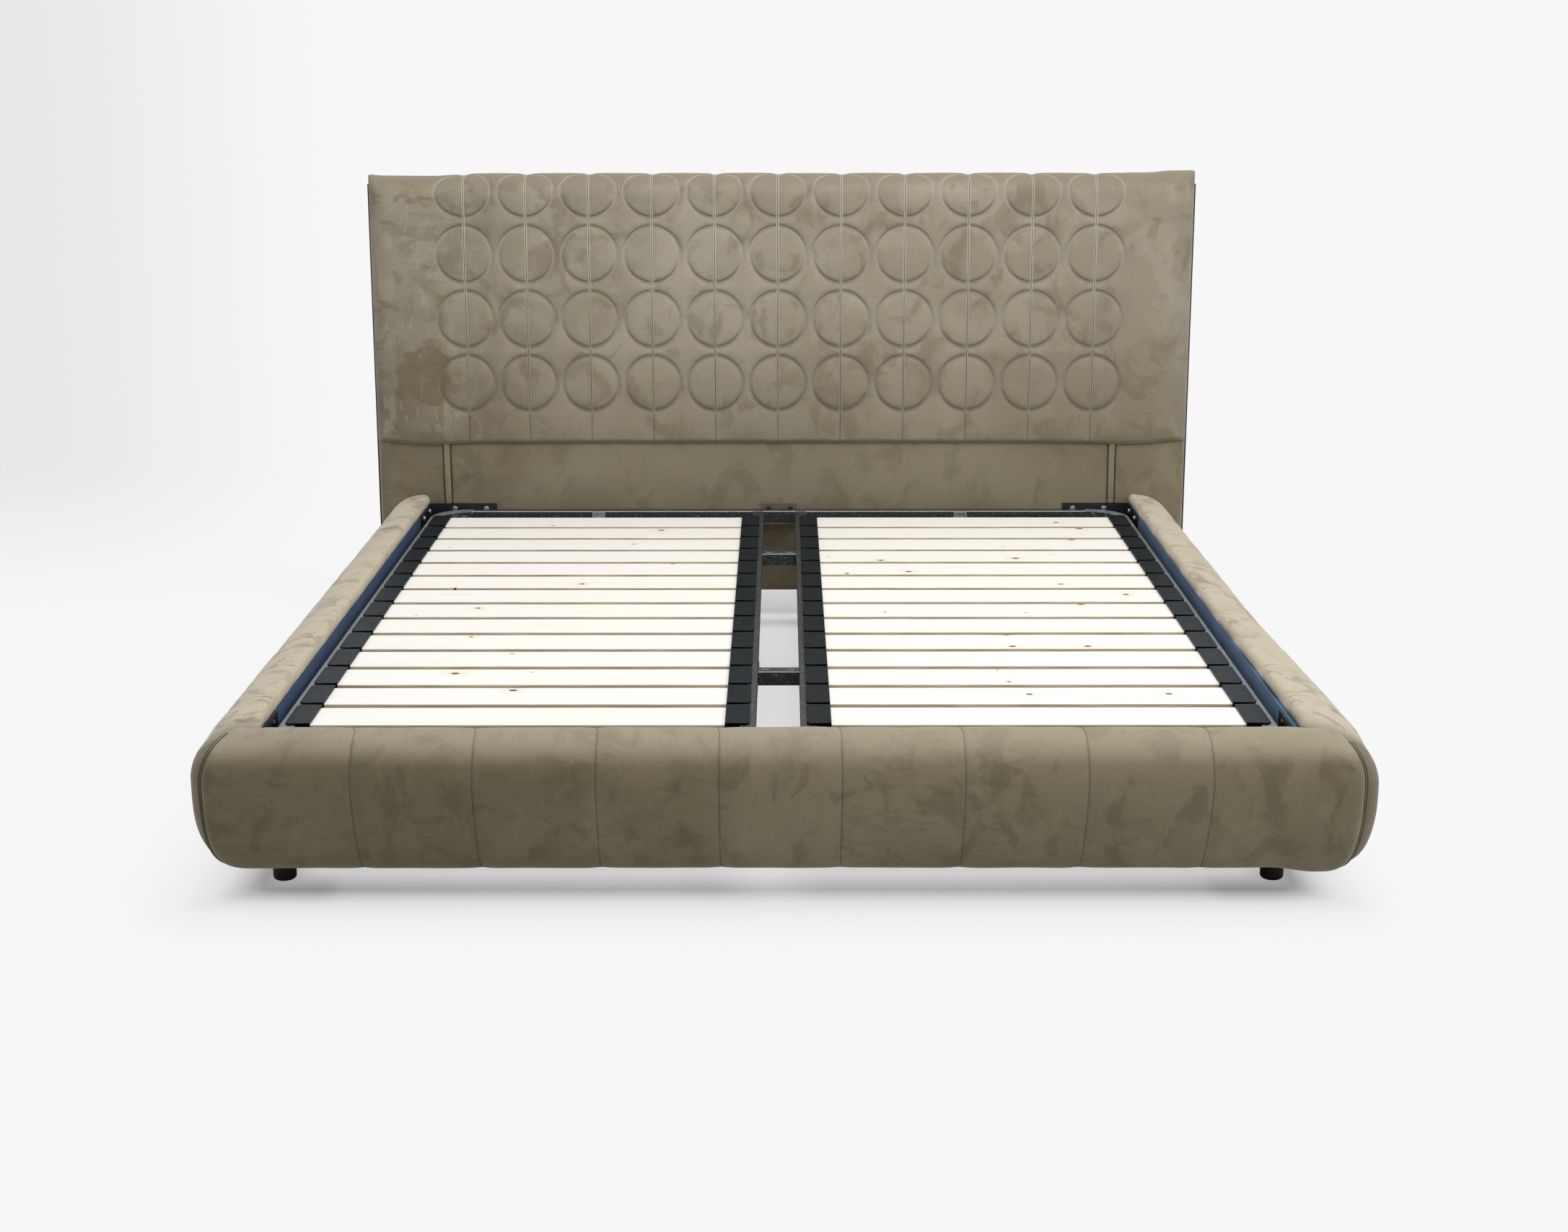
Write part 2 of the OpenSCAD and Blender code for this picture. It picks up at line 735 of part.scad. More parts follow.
module tube_section() {
    r = tube_r;
    far = tube - r;
    difference() {
        polygon(concat(curve(far, r, r, r, -90, 0, 2), curve(far, far, r, r, 0, 90, 2),
            curve(r, far, r, r, 90, 180, 2), curve(r, r, r, r, 180, 270, 2)));
        translate([tube_wall, tube_wall]) square(tube - 2 * tube_wall);
    }
}

module tube_along_y(x0, y0, y1) {
    translate([x0, y1, tube_z0]) rotate([90, 0, 0]) linear_extrude(height = y1 - y0) tube_section();
}

module tube_along_x(y0, x0, x1) {
    translate([x0, y0, tube_z0]) rotate([90, 0, 90]) linear_extrude(height = x1 - x0) tube_section();
}

module base_head_bar() {
    half = deck_w / 2 - deck_r;
    color("#2a2c2e") tube_along_x(deck_y1 - tube, -half, half);
}

module base_foot_bar() {
    half = deck_w / 2 - deck_r;
    color("#2a2c2e") tube_along_x(deck_y0, -half, half);
}

module base_side_tube() {
    color("#2a2c2e") tube_along_y(outer_face, deck_y0 + deck_r, deck_y1 - deck_r);
}

module base_inner_tube() {
    color("#2a2c2e") tube_along_y(centre_gap / 2, deck_y0 + tube, deck_y1 - tube);
}

module base_corner_bends() {
    color("#2a2c2e") each_side() for (end = [0, 1])
        mirror([0, end, 0]) translate([deck_w / 2 - deck_r, deck_l / 2 - deck_r, tube_z0])
            rotate_extrude(angle = 90) translate([deck_r - tube, 0]) tube_section();
}

module gap_bar(y) {
    slot_l = 14;
    half = centre_gap / 2;
    deep = tube / 2;
    bore = deep - tube_wall;
    low = deck_z - gap_bar_h;
    color("#2a2c2e") difference() {
        block(-half, half, y - deep, y + deep, low, deck_z);
        block(-half - eps, half + eps, y - bore, y + bore, low + tube_wall, deck_z - tube_wall);
        for (side = [-1, 1])
            translate([side * (half - 15), y, deck_z - tube_wall / 2])
                cube([slot_l, 5, 2 * tube_wall], center = true);
    }
}

module foot_strap() {
    low = strap_z - strap_drop;
    section = [
        [inner_face, strap_z], [inner_face, strap_z - strap_t],
        [strap_high, strap_z - strap_t], [strap_high + 20, low],
        [outer_face, low], [outer_face, low + strap_t],
        [strap_high + 22, low + strap_t], [strap_high + 2, strap_z]
    ];
    color("#2a2c2e") along_y(section, deck_y0 + strap_in, deck_y0 + strap_in + strap_w);
}

module head_bar_clips() {
    x = (outer_face + inner_face) / 2;
    y = deck_y1 - tube;
    color("#b9bcbd") each_side() difference() {
        block(x - clip_w / 2, x + clip_w / 2, y - 12, y, deck_z - 22, deck_z);
        block(x - clip_w / 2 - eps, x + clip_w / 2 - 3, y - 12 - eps, y - 2, deck_z - 20, deck_z - 2);
    }
}

// A holder over the tube, with the tube's face at x = 0 and the slat on the +x side
module slat_holder() {
    bottom = slat_top - slat_t - cover_t;
    half = holder_w / 2;
    side = half + holder_flare;
    slot_half = slat_w / 2 + slat_clear;
    notch = 6;
    difference() {
        union() {
            translate([0, 0, deck_z]) linear_extrude(height = cover_t)
                polygon([[-flap_l, half - notch], [-flap_l + notch, side], [pocket_l, half],
                         [pocket_l, -half], [-flap_l + notch, -side], [-flap_l, -half + notch]]);
            block(0, pocket_l, -half, half, bottom, deck_z);
        }
        block(pocket_wall, pocket_l + eps, -slot_half, slot_half, slat_top - slat_t, deck_z);
    }
}

module slat_places() {
    for (i = [0 : slats - 1])
        translate([0, slat_y0 + i * slat_pitch, 0]) children();
}

module slat_holders_outer() {
    color("#33393c") slat_places() translate([outer_face, 0, 0]) left() slat_holder();
}

module slat_holders_inner() {
    color("#33393c") slat_places() translate([inner_face, 0, 0]) slat_holder();
}

module slats_right() {
    r = 2.5;
    w = slat_w / 2;
    section = concat(
        curve(w - r, slat_top - slat_t + r, r, r, -90, 0, 3),
        curve(w - r, slat_top - r, r, r, 0, 90, 3),
        curve(-w + r, slat_top - r, r, r, 90, 180, 3),
        curve(-w + r, slat_top - slat_t + r, r, r, 180, 270, 3)
    );
    color("#f3ead2") slat_places() along_x(section, slat_x0, slat_x1);
}

placed() headboard_frame();
placed() headboard_plain_panel();
placed() headboard_quilted_cushion();
placed() headboard_back();
placed() left() double_seam();  // double_seam_left
placed() double_seam();  // double_seam_right
placed() left() side_piping();  // side_piping_left
placed() side_piping();  // side_piping_right
placed() left() side_rail_board();  // side_rail_board_left
placed() side_rail_board();  // side_rail_board_right
placed() left() side_rail_cushion();  // side_rail_cushion_left
placed() side_rail_cushion();  // side_rail_cushion_right
placed() left() side_rail_lining();  // side_rail_lining_left
placed() side_rail_lining();  // side_rail_lining_right
placed() front_rail_board();
placed() front_rail_cushion();
placed() front_rail_lining();
placed() left() corner_bracket_head();  // corner_bracket_head_left
placed() corner_bracket_head();  // corner_bracket_head_right
placed() left() corner_bracket_foot();  // corner_bracket_foot_left
placed() corner_bracket_foot();  // corner_bracket_foot_right
placed() centre_bracket();
placed() rail_bolts();
placed() headboard_bolts();
placed() left() side_ledge();  // side_ledge_left
placed() side_ledge();  // side_ledge_right
placed() left() corner_leg(1);  // leg_head_left
placed() corner_leg(1);  // leg_head_right
placed() left() corner_leg(-1);  // leg_foot_left
placed() corner_leg(-1);  // leg_foot_right
placed() leg_nuts();
placed() left() middle_leg(gap_bar_ys[0]);  // middle_leg_head_left
placed() middle_leg(gap_bar_ys[0]);  // middle_leg_head_right
placed() left() middle_leg(gap_bar_ys[1]);  // middle_leg_foot_left
placed() middle_leg(gap_bar_ys[1]);  // middle_leg_foot_right
placed() middle_leg_glides();
placed() base_head_bar();
placed() base_foot_bar();
placed() base_corner_bends();
placed() left() base_side_tube();  // base_side_tube_left
placed() base_side_tube();  // base_side_tube_right
placed() left() base_inner_tube();  // base_inner_tube_left
placed() base_inner_tube();  // base_inner_tube_right
placed() gap_bar(gap_bar_ys[0]);  // gap_bar_head
placed() gap_bar(gap_bar_ys[1]);  // gap_bar_foot
placed() left() foot_strap();  // foot_strap_left
placed() foot_strap();  // foot_strap_right
placed() head_bar_clips();
placed() left() slat_holders_outer();  // slat_holders_outer_left
placed() left() slat_holders_inner();  // slat_holders_inner_left
placed() slat_holders_inner();  // slat_holders_inner_right
placed() slat_holders_outer();  // slat_holders_outer_right
placed() left() slats_right();  // slats_left
placed() slats_right();
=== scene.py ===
import bpy
import bmesh
import math
import numpy as np
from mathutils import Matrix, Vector, noise


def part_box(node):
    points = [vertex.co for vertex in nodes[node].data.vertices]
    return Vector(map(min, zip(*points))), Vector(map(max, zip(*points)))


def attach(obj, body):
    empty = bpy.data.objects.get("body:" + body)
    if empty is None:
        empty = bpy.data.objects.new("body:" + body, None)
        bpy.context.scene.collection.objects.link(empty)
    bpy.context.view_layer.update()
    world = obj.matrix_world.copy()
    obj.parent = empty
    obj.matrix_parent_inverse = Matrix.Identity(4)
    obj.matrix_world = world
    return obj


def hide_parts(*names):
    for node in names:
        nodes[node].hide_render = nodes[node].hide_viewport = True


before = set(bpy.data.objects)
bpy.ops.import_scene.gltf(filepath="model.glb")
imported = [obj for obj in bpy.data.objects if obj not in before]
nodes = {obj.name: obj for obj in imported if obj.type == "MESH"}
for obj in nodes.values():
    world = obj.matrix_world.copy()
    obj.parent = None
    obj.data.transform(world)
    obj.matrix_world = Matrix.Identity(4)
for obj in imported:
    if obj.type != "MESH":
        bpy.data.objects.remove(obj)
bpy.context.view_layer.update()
MM = 0.001

# Sizes in millimetres, as in the part's source. y = 0 is the middle of the well

WELL_X = 905.0
WELL_Y = 1025.0
LENGTH = 2 * WELL_Y
RAIL_T = 108.0
SIDE_T = 116.0
FRONT_HALF = 990.0
RAIL_Z0 = 78.0
BULGE_Z = 245.0
RAIL_TOP = 326.0
LIP_Z = 305.5
CROWN = 16.0
FRONT_FOOT = 75.0
SIDE_FOOT = 55.0
BOARD_U = 24.4
SEAM_PITCH = 209.0
DECK_Z = 289.0
LEAN = math.radians(1.4)
PIVOT_Z = 217.0
COVER_HALF = 1046.0
CORE_HALF = 1021.4
PANEL_H = 388.0
CORE_FRONT = 19.6
CORE_BACK = 66.0
PROUD = 24.0
TOP_ROLL = 60.0
BOTTOM_ROLL = 12.0
BACK_ROLL = 36.0
BACK_DROP = 14.0
TUCK = 13.0
ROLL_FLAT = 1012.0
HEAD_TOP = 1072.0
COLS = 11
ROWS = 4
CELL_X = 159.5
CELL_S = 163.0
ROW_TOP = 1031.2
RING_R = 70.5
CHANNEL = 1.5
SEAM_X = 857.0
SEAM_BOTTOM = 232.0
SLAT_PITCH = 131.0
FIRST_SLAT = -912.5
SHIFT_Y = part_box("front_rail_cushion")[0][1] / MM + WELL_Y + RAIL_T
SIDES = (("right", 1), ("left", -1))

# Spacing of the rails' fine grids and of the coarse ones that the cloth simulation runs on
FINE, COARSE = 6.0, 14.0
# How far the side rails' covers go on round the corner, behind the front rail
AROUND = 150.0


def placed(p):
    """Millimetres about the well's middle to metres in the row frame."""
    q = np.array(p, dtype=float)
    q[..., 1] += SHIFT_Y
    return q * MM


def on_headboard(p):
    """The headboard's own millimetres (x, back from the panel's face, up the cover) to the bed's."""
    q = np.array(p, dtype=float)
    y, z = q[..., 1].copy(), q[..., 2] - PIVOT_Z
    q[..., 1] = WELL_Y + y * math.cos(LEAN) + z * math.sin(LEAN)
    q[..., 2] = DECK_Z - y * math.sin(LEAN) + z * math.cos(LEAN)
    return q


def smoothstep(t):
    t = np.clip(t, 0.0, 1.0)
    return t * t * (3 - 2 * t)


def hump(t, width, power=2):
    """1 at t = 0, falling off smoothly on both sides."""
    return np.exp(-(t / width) ** power)


# Shader groups

GREY = (0.1, 0.1, 0.1, 1.0)
NEAR_BLACK = (0.001, 0.001, 0.0015, 1.0)
# The colour of the painted glint on the steel's edges
GLINT = (0.9, 0.93, 0.95, 1.0)
FAR_OFF = 9.0


def srgb(r, g, b):
    """A colour in 0 to 255 as linear RGBA."""
    c = [v / 255 for v in (r, g, b)]
    return tuple(v / 12.92 if v <= 0.04045 else ((v + 0.055) / 1.055) ** 2.4 for v in c) + (1.0,)


class Wiring:
    """Adds nodes to one tree. An input given a socket is linked to it, and any other value is set on it."""

    def __init__(self, tree):
        self.tree = tree

    def feed(self, socket, value):
        if isinstance(value, bpy.types.NodeSocket):
            self.tree.links.new(value, socket)
        else:
            socket.default_value = value

    def add(self, kind, inputs=None, **props):
        n = self.tree.nodes.new(kind)
        for key, value in props.items():
            setattr(n, key, value)
        for key, value in (inputs or {}).items():
            self.feed(n.inputs[key], value)
        return n

    def maths(self, op, a, b=0.0, c=0.0, clamp=False):
        return self.add("ShaderNodeMath", {0: a, 1: b, 2: c}, operation=op, use_clamp=clamp).outputs[0]

    def times(self, value, *others):
        for other in others:
            value = self.maths("MULTIPLY", value, other)
        return value

    def plus(self, a, b):
        return self.maths("ADD", a, b)

    def minus(self, a, b, clamp=False):
        return self.maths("SUBTRACT", a, b, clamp=clamp)

    def over(self, a, b):
        return self.maths("DIVIDE", a, b)

    def blend(self, share, a, b, mode="MIX"):
        """Colour a with this share of colour b."""
        mix = self.add("ShaderNodeMix", {0: share, 6: a, 7: b}, data_type="RGBA", blend_type=mode)
        return mix.outputs[2]

    def ramp(self, value, low, high, out_low=0.0, out_high=1.0, kind="SMOOTHSTEP"):
        return self.add("ShaderNodeMapRange", {
            "Value": value, "From Min": low, "From Max": high, "To Min": out_low, "To Max": out_high},
            interpolation_type=kind).outputs["Result"]

    def place(self):
        return self.add("ShaderNodeTexCoord").outputs["Object"]

    def axes(self, vector):
        return self.add("ShaderNodeSeparateXYZ", {0: vector}).outputs[:]

    def facing(self):
        return self.axes(self.add("ShaderNodeNewGeometry").outputs["Normal"])

    def stretched(self, coords, scale, turn=(0, 0, 0)):
        return self.add("ShaderNodeMapping", {
            "Vector": coords, "Scale": scale, "Rotation": turn}).outputs["Vector"]

    def cloud(self, coords, scale, detail=3.0, rough=0.55, warp=0.0):
        return self.add("ShaderNodeTexNoise", {
            "Vector": coords, "Scale": scale, "Detail": detail, "Roughness": rough,
            "Distortion": warp}).outputs["Fac"]

    def give(self, **values):
        self.add("NodeGroupOutput", values)
        return self.tree


def new_group(name, colours, numbers):
    """A shader group that gives Colour, Roughness and Height; returns its wiring and its inputs."""
    tree = bpy.data.node_groups.new(name, "ShaderNodeTree")
    colour, number = "NodeSocketColor", "NodeSocketFloat"
    for label in colours:
        tree.interface.new_socket(label, in_out="INPUT", socket_type=colour).default_value = GREY
    for label, value in numbers.items():
        tree.interface.new_socket(label, in_out="INPUT", socket_type=number).default_value = value
    for label, kind in (("Colour", colour), ("Roughness", number), ("Height", number)):
        tree.interface.new_socket(label, in_out="OUTPUT", socket_type=kind)
    return Wiring(tree), tree.nodes.new("NodeGroupInput").outputs


def make_nap():
    """Brushed nap of nubuck leather: clouds, rubbed patches, finger strokes with crisp edges and fine grain.
    Painted light and shade: a colour of its own where the cover faces up (paler on the rails, darker on the
    headboard) and on the rails' inner sides, painted shade on slopes that face down, and painted shade past
    the places given in metres."""
    w, given = new_group("brushed_nap", ("Base", "Pale", "Deep", "Painted Top Lighting"), {
        "Painted Top Lighting From": 0.3, "Painted Top Lighting To": 0.95, "Patch Size": 0.12, "Mottle": 1.0, "Strokes": 0.4,
        "Strokes Left Of": FAR_OFF, "Strokes On Top": 0.0, "Dark Below": -FAR_OFF, "Dark Before": -FAR_OFF,
        "Dark Left Of": -FAR_OFF, "Slopes": 0.0, "Inner Side": 0.0, "Creases": 0.15})
    at = w.place()
    x, y, z = w.axes(at)
    facing_x, _, facing_z = w.facing()

    def short_of(value, place, before, after, low, high):
        """Goes from low to high where the value falls below a given place."""
        return w.ramp(value, w.plus(given[place], before), w.minus(given[place], after), low, high)
    # Painted shade: darker below, before and left of the places given
    lower = short_of(z, "Dark Below", 0.3, 0.1, 0.0, 0.45)
    fore = short_of(y, "Dark Before", 0.05, 0.05, 0.0, 0.85)
    aside = short_of(x, "Dark Left Of", 0.45, 0.45, 0.0, 0.42)
    left = short_of(x, "Strokes Left Of", 0.15, 0.15, 0.1, 1.0)

    scale = w.over(1.0, given["Patch Size"])
    wide = w.cloud(at, 1.7, 2.0, 0.5, 0.4)
    patch = w.cloud(at, scale, 4.0, 0.55, 0.5)
    rubbed = w.cloud(w.stretched(at, (1.0, 0.7, 0.8), (0.3, 0.2, 0.7)), w.times(scale, 1.7), 4.0, 0.55, 0.7)
    mask = w.cloud(at, 5.0, 2.0, 0.5, 0.5)
    across = w.cloud(w.stretched(at, (13.0, 13.0, 36.0), (0.5, 0.4, 0.9)), 1.0, 2.5, 0.5, 0.9)
    upright = w.cloud(w.stretched(at, (38.0, 24.0, 12.0), (0.2, 0.6, 0.3)), 1.0, 2.5, 0.5, 0.9)
    ragged = w.cloud(at, 16.0, 3.0, 0.6)
    lines = w.cloud(w.stretched(at, (14.0, 38.0, 14.0), (0.0, 0.4, 0.5)), 1.0, 4.0, 0.55, 0.5)
    grain = w.cloud(at, 900.0, 2.0, 0.6)
    speck = w.cloud(at, 240.0, 3.0, 0.7)

    side_on = w.times(given["Strokes On Top"], w.ramp(facing_z, 0.75, 0.3))
    marks = w.times(given["Strokes"], left, w.minus(1.0, side_on))
    pale_patch = w.times(w.ramp(patch, 0.50, 0.62), given["Mottle"])
    deep_patch = w.times(w.ramp(rubbed, 0.50, 0.65), given["Mottle"])
    dark_marks = w.times(w.ramp(across, 0.54, 0.59), w.ramp(mask, 0.44, 0.54), marks)
    pale_marks = w.times(w.ramp(upright, 0.54, 0.60), w.ramp(mask, 0.56, 0.46), marks)
    # The large rubbed mark at the headboard's left
    from_mark = w.add("ShaderNodeVectorMath", {
        0: w.stretched(at, (1.0, 0.0, 0.72)), 1: (-0.905, 0.0, 0.463)}, operation="DISTANCE")
    left_mark = w.ramp(w.plus(from_mark.outputs["Value"], w.times(ragged, 0.11)), 0.122, 0.108)
    left_mark = w.times(left_mark, w.times(given["Slopes"], 0.9))
    # Painted shade on slopes that face down; the same strength also sets the rubbed mark above
    falling = w.times(w.ramp(facing_z, -0.05, -0.4), given["Slopes"])
    # Painted light on the rails' inner sides, which face the middle of the bed
    inward = w.times(w.ramp(w.times(facing_x, x), -0.05, -0.4), given["Inner Side"])
    # Painted light and shade: faces that look up take the colour given for them, except on worn places
    up = w.maths("MAXIMUM", w.ramp(facing_z, given["Painted Top Lighting From"], given["Painted Top Lighting To"]), inward)
    worn = w.plus(w.times(deep_patch, 0.3), w.times(dark_marks, 0.55))
    up = w.times(up, w.minus(1.0, worn, clamp=True))

    colour = given["Base"]
    for share, other in ((w.times(w.ramp(wide, 0.42, 0.6), 0.55), "Pale"),
                         (w.times(pale_patch, 0.5), "Pale"), (w.times(deep_patch, 0.6), "Deep"),
                         (lower, "Deep"), (aside, "Deep"), (left_mark, "Deep"),
                         (w.times(pale_marks, 0.7), "Pale"), (dark_marks, "Deep"),
                         (falling, "Deep"), (up, "Painted Top Lighting"), (fore, "Deep")):
        colour = w.blend(share, colour, given[other])
    for share, value in ((0.22, speck), (0.14, grain)):
        dots = w.add("ShaderNodeCombineColor", {0: value, 1: value, 2: value}).outputs[0]
        colour = w.blend(share, colour, dots, "OVERLAY")
    fold = w.times(w.ramp(lines, 0.46, 0.6), given["Creases"])
    return w.give(Colour=colour, Roughness=w.ramp(patch, 0.3, 0.7, 0.82, 0.94),
                  Height=w.plus(w.plus(fold, w.times(speck, 0.16)), w.times(grain, 0.08)))


def make_coat():
    """Hammered, speckled powder coat, with a painted lighter top, painted shade on its front faces and a
    painted glint on its rounded upper front edges.
    """
    w, given = new_group("speckled_coat", ("Base", "Speck", "Upper"), {
        "Speck Size": 0.0016, "Speck Share": 0.3, "Upper Share": 0.0, "Front Shade": 0.0, "Edge Glint": 0.0,
        "Glint Above": FAR_OFF})
    at = w.place()
    _, facing_y, facing_z = w.facing()
    scale = w.over(1.0, given["Speck Size"])
    fine = w.cloud(at, scale, 2.0, 0.6)
    coarse = w.cloud(at, w.times(scale, 0.35), 2.0, 0.5)
    mixed = w.plus(w.times(fine, 0.65), w.times(coarse, 0.35))
    level = w.minus(0.66, w.times(given["Speck Share"], 0.3))
    # Painted light: faces that look up take the lighter colour given for them
    top = w.times(w.ramp(facing_z, 0.6, 0.95), given["Upper Share"])
    front = w.ramp(facing_y, -0.5, -0.9)
    # Painted glint: on the facet that looks up and forward, and on the gap bars along the top of their front
    # faces
    toward = w.minus(w.times(facing_z, 0.924), w.times(facing_y, 0.383))
    strip = w.times(front, w.maths("GREATER_THAN", w.axes(at)[2], given["Glint Above"]))
    glint = w.times(w.maths("MAXIMUM", w.ramp(toward, 0.95, 0.985), strip), given["Edge Glint"])
    colour = w.blend(w.ramp(mixed, level, w.plus(level, 0.07)),
                     w.blend(top, given["Base"], given["Upper"]), given["Speck"])
    colour = w.blend(w.times(front, given["Front Shade"]), colour, NEAR_BLACK)
    return w.give(Colour=w.blend(glint, colour, GLINT), Roughness=w.ramp(mixed, 0.3, 0.7, 0.34, 0.5),
                  Height=mixed)


def make_planed_wood():
    """Planed pine: long grain and a few knots; every slat differs by its place. The sides that don't face up
    are darker, partly their own coarse fibre and partly painted shade.
    """
    w, given = new_group("planed_wood", ("Face", "Grain", "Edge", "Knot"), {
        "Slat Pitch": 0.131, "First Slat": -0.9})
    at = w.place()
    x, y, _ = w.axes(at)
    row = w.maths("FLOOR", w.over(w.minus(y, given["First Slat"]), given["Slat Pitch"]))
    key = w.plus(row, w.times(w.maths("GREATER_THAN", x, 0.0), 31.0))
    own = w.add("ShaderNodeTexWhiteNoise", {"W": key}, noise_dimensions="1D").outputs["Value"]
    shift = w.add("ShaderNodeCombineXYZ", {0: w.times(own, 37.0), 1: 0.0, 2: w.times(own, 11.0)}).outputs[0]
    moved = w.add("ShaderNodeVectorMath", {0: at, 1: shift}, operation="ADD").outputs[0]
    rings = w.cloud(w.stretched(moved, (1.6, 60.0, 60.0)), 1.0, 4.0, 0.6, 0.6)
    fibre = w.cloud(w.stretched(moved, (9.0, 420.0, 420.0)), 1.0, 2.0, 0.6)
    spots = w.add("ShaderNodeTexVoronoi", {
        "Vector": w.stretched(moved, (7.0, 9.0, 1.0)), "Scale": 1.0, "Randomness": 1.0},
        voronoi_dimensions="2D", feature="F1").outputs
    drawn = w.add("ShaderNodeSeparateColor", {0: spots["Color"]}).outputs
    chosen = w.maths("GREATER_THAN", drawn[0], 0.74)
    reach = w.ramp(drawn[1], 0.0, 1.0, 0.02, 0.072)
    knot = w.times(w.ramp(spots["Distance"], reach, w.times(reach, 0.6)), chosen)
    halo = w.times(w.ramp(spots["Distance"], w.times(reach, 4.0), reach), chosen)
    face = w.blend(w.times(w.ramp(rings, 0.5, 0.68), 0.22), given["Face"], given["Grain"])
    edge = w.blend(w.ramp(fibre, 0.35, 0.7), given["Edge"], given["Grain"])
    # Painted shade with the edges' own fibre: faces that don't look up take the edge colour
    colour = w.blend(w.ramp(w.facing()[2], 0.35, 0.85), edge, face)
    colour = w.blend(w.times(halo, 0.35), colour, given["Grain"])
    colour = w.blend(w.times(knot, 0.95), colour, given["Knot"])
    return w.give(Colour=colour, Roughness=w.ramp(rings, 0.3, 0.7, 0.55, 0.68),
                  Height=w.plus(w.times(fibre, 0.6), w.times(rings, 0.4)))


def make_twill():
    """Diagonal twill of the rails' lining."""
    w, given = new_group("twill_weave", ("Warp", "Weft"), {"Rib": 0.0022})
    at = w.place()
    x, y, z = w.axes(at)
    along = w.plus(w.plus(x, y), z)
    rib = w.ramp(w.maths("SINE", w.times(w.over(along, given["Rib"]), math.tau)), -0.6, 0.6)
    worn = w.cloud(at, 14.0, 4.0, 0.6, 0.6)
    colour = w.blend(rib, given["Warp"], given["Weft"])
    colour = w.blend(w.times(w.ramp(worn, 0.45, 0.7), 0.4), colour, given["Weft"])
    return w.give(Colour=colour, Roughness=w.ramp(worn, 0.3, 0.7, 0.75, 0.9), Height=rib)


NAP, COAT, PINE, TWILL = make_nap(), make_coat(), make_planed_wood(), make_twill()

# Materials

def with_spaces(values):
    """Names with spaces for underscores, and colours in 0 to 255 made linear."""
    return {key.replace("_", " "): srgb(*value) if isinstance(value, tuple) else value
            for key, value in values.items()}


def finish_material(name, group=None, values=None, bump=0.0, bump_gap=0.0, **sockets):
    """A material whose colour, roughness and height come from a group with its own values."""
    m = bpy.data.materials.new(name)
    m.use_nodes = True
    w = Wiring(m.node_tree)
    skin = m.node_tree.nodes["Principled BSDF"].inputs
    if group:
        made = w.add("ShaderNodeGroup", with_spaces(values), node_tree=group).outputs
        bumps = w.add("ShaderNodeBump", {"Height": made["Height"], "Strength": bump, "Distance": bump_gap})
        w.feed(skin["Base Color"], made["Colour"])
        w.feed(skin["Roughness"], made["Roughness"])
        w.feed(skin["Normal"], bumps.outputs["Normal"])
    for key, value in with_spaces(sockets).items():
        skin[key].default_value = value
    return m


def colour_by_place(material, one, other, share):
    """Gives a material a colour between two, by a share made from the place's axes."""
    w = Wiring(material.node_tree)
    w.feed(material.node_tree.nodes["Principled BSDF"].inputs["Base Color"],
           w.blend(share(w, *w.axes(w.place())), srgb(*one), srgb(*other)))


def nubuck(name, base, pale, deep, top_lighting, top_lighting_from, top_lighting_to, patch, mottle, strokes, **more):
    return finish_material(name, NAP, {
        "Base": base, "Pale": pale, "Deep": deep, "Painted Top Lighting": top_lighting, "Painted Top Lighting From": top_lighting_from,
        "Painted Top Lighting To": top_lighting_to, "Patch Size": patch, "Mottle": mottle, "Strokes": strokes, **more},
        0.5, 0.0012, Sheen_Weight=0.25, Sheen_Roughness=0.45, Specular_IOR_Level=0.25)


def coated(name, base, speck, size, share, bump, bump_gap, specular=0.5, metallic=0.0, **more):
    return finish_material(name, COAT, {
        "Base": base, "Speck": speck, "Speck Size": size, "Speck Share": share, **more},
        bump, bump_gap, Specular_IOR_Level=specular, Metallic=metallic)


def wooden(name, face, grain, edge, knot, pitch, first, bump):
    return finish_material(name, PINE, {
        "Face": face, "Grain": grain, "Edge": edge, "Knot": knot, "Slat Pitch": pitch, "First Slat": first},
        bump, 0.0006)


def lining(name, warp, weft):
    return finish_material(name, TWILL, {"Warp": warp, "Weft": weft, "Rib": 0.0022}, 0.5, 0.0005)


# Each leather's fourth colour is painted light where it faces up, but painted shade on the quilted cover and
# its seam bands; the places it darkens past are painted shade
leather_front = nubuck("nubuck_front_rail", (112, 103, 78), (130, 121, 96), (84, 75, 51), (158, 148, 125),
                       0.45, 0.97, 0.11, 0.75, 0.18, Dark_Left_Of=-0.42)
leather_side = nubuck("nubuck_side_rails", (120, 112, 90), (150, 140, 118), (96, 86, 64), (194, 182, 158),
                      -0.15, 0.85, 0.08, 0.65, 0.65, Strokes_On_Top=0.9, Creases=0.5, Dark_Before=-1.01,
                      Inner_Side=1.0)
leather_head = nubuck("nubuck_headboard", (152, 143, 123), (176, 167, 148), (114, 104, 80), (138, 129, 111),
                      0.25, 0.85, 0.13, 0.75, 0.45, Strokes_Left_Of=-0.8, Dark_Below=0.6, Dark_Left_Of=-0.9,
                      Slopes=0.85)
leather_band = nubuck("nubuck_seam_bands", (172, 163, 145), (184, 175, 157), (124, 113, 92), (152, 143, 124),
                      0.25, 0.85, 0.13, 0.4, 0.1, Dark_Below=0.72)
leather_band_low = nubuck("nubuck_double_seams", (136, 127, 104), (150, 141, 118), (118, 109, 86),
                          (166, 156, 134), 0.4, 0.95, 0.1, 0.6, 0.2)
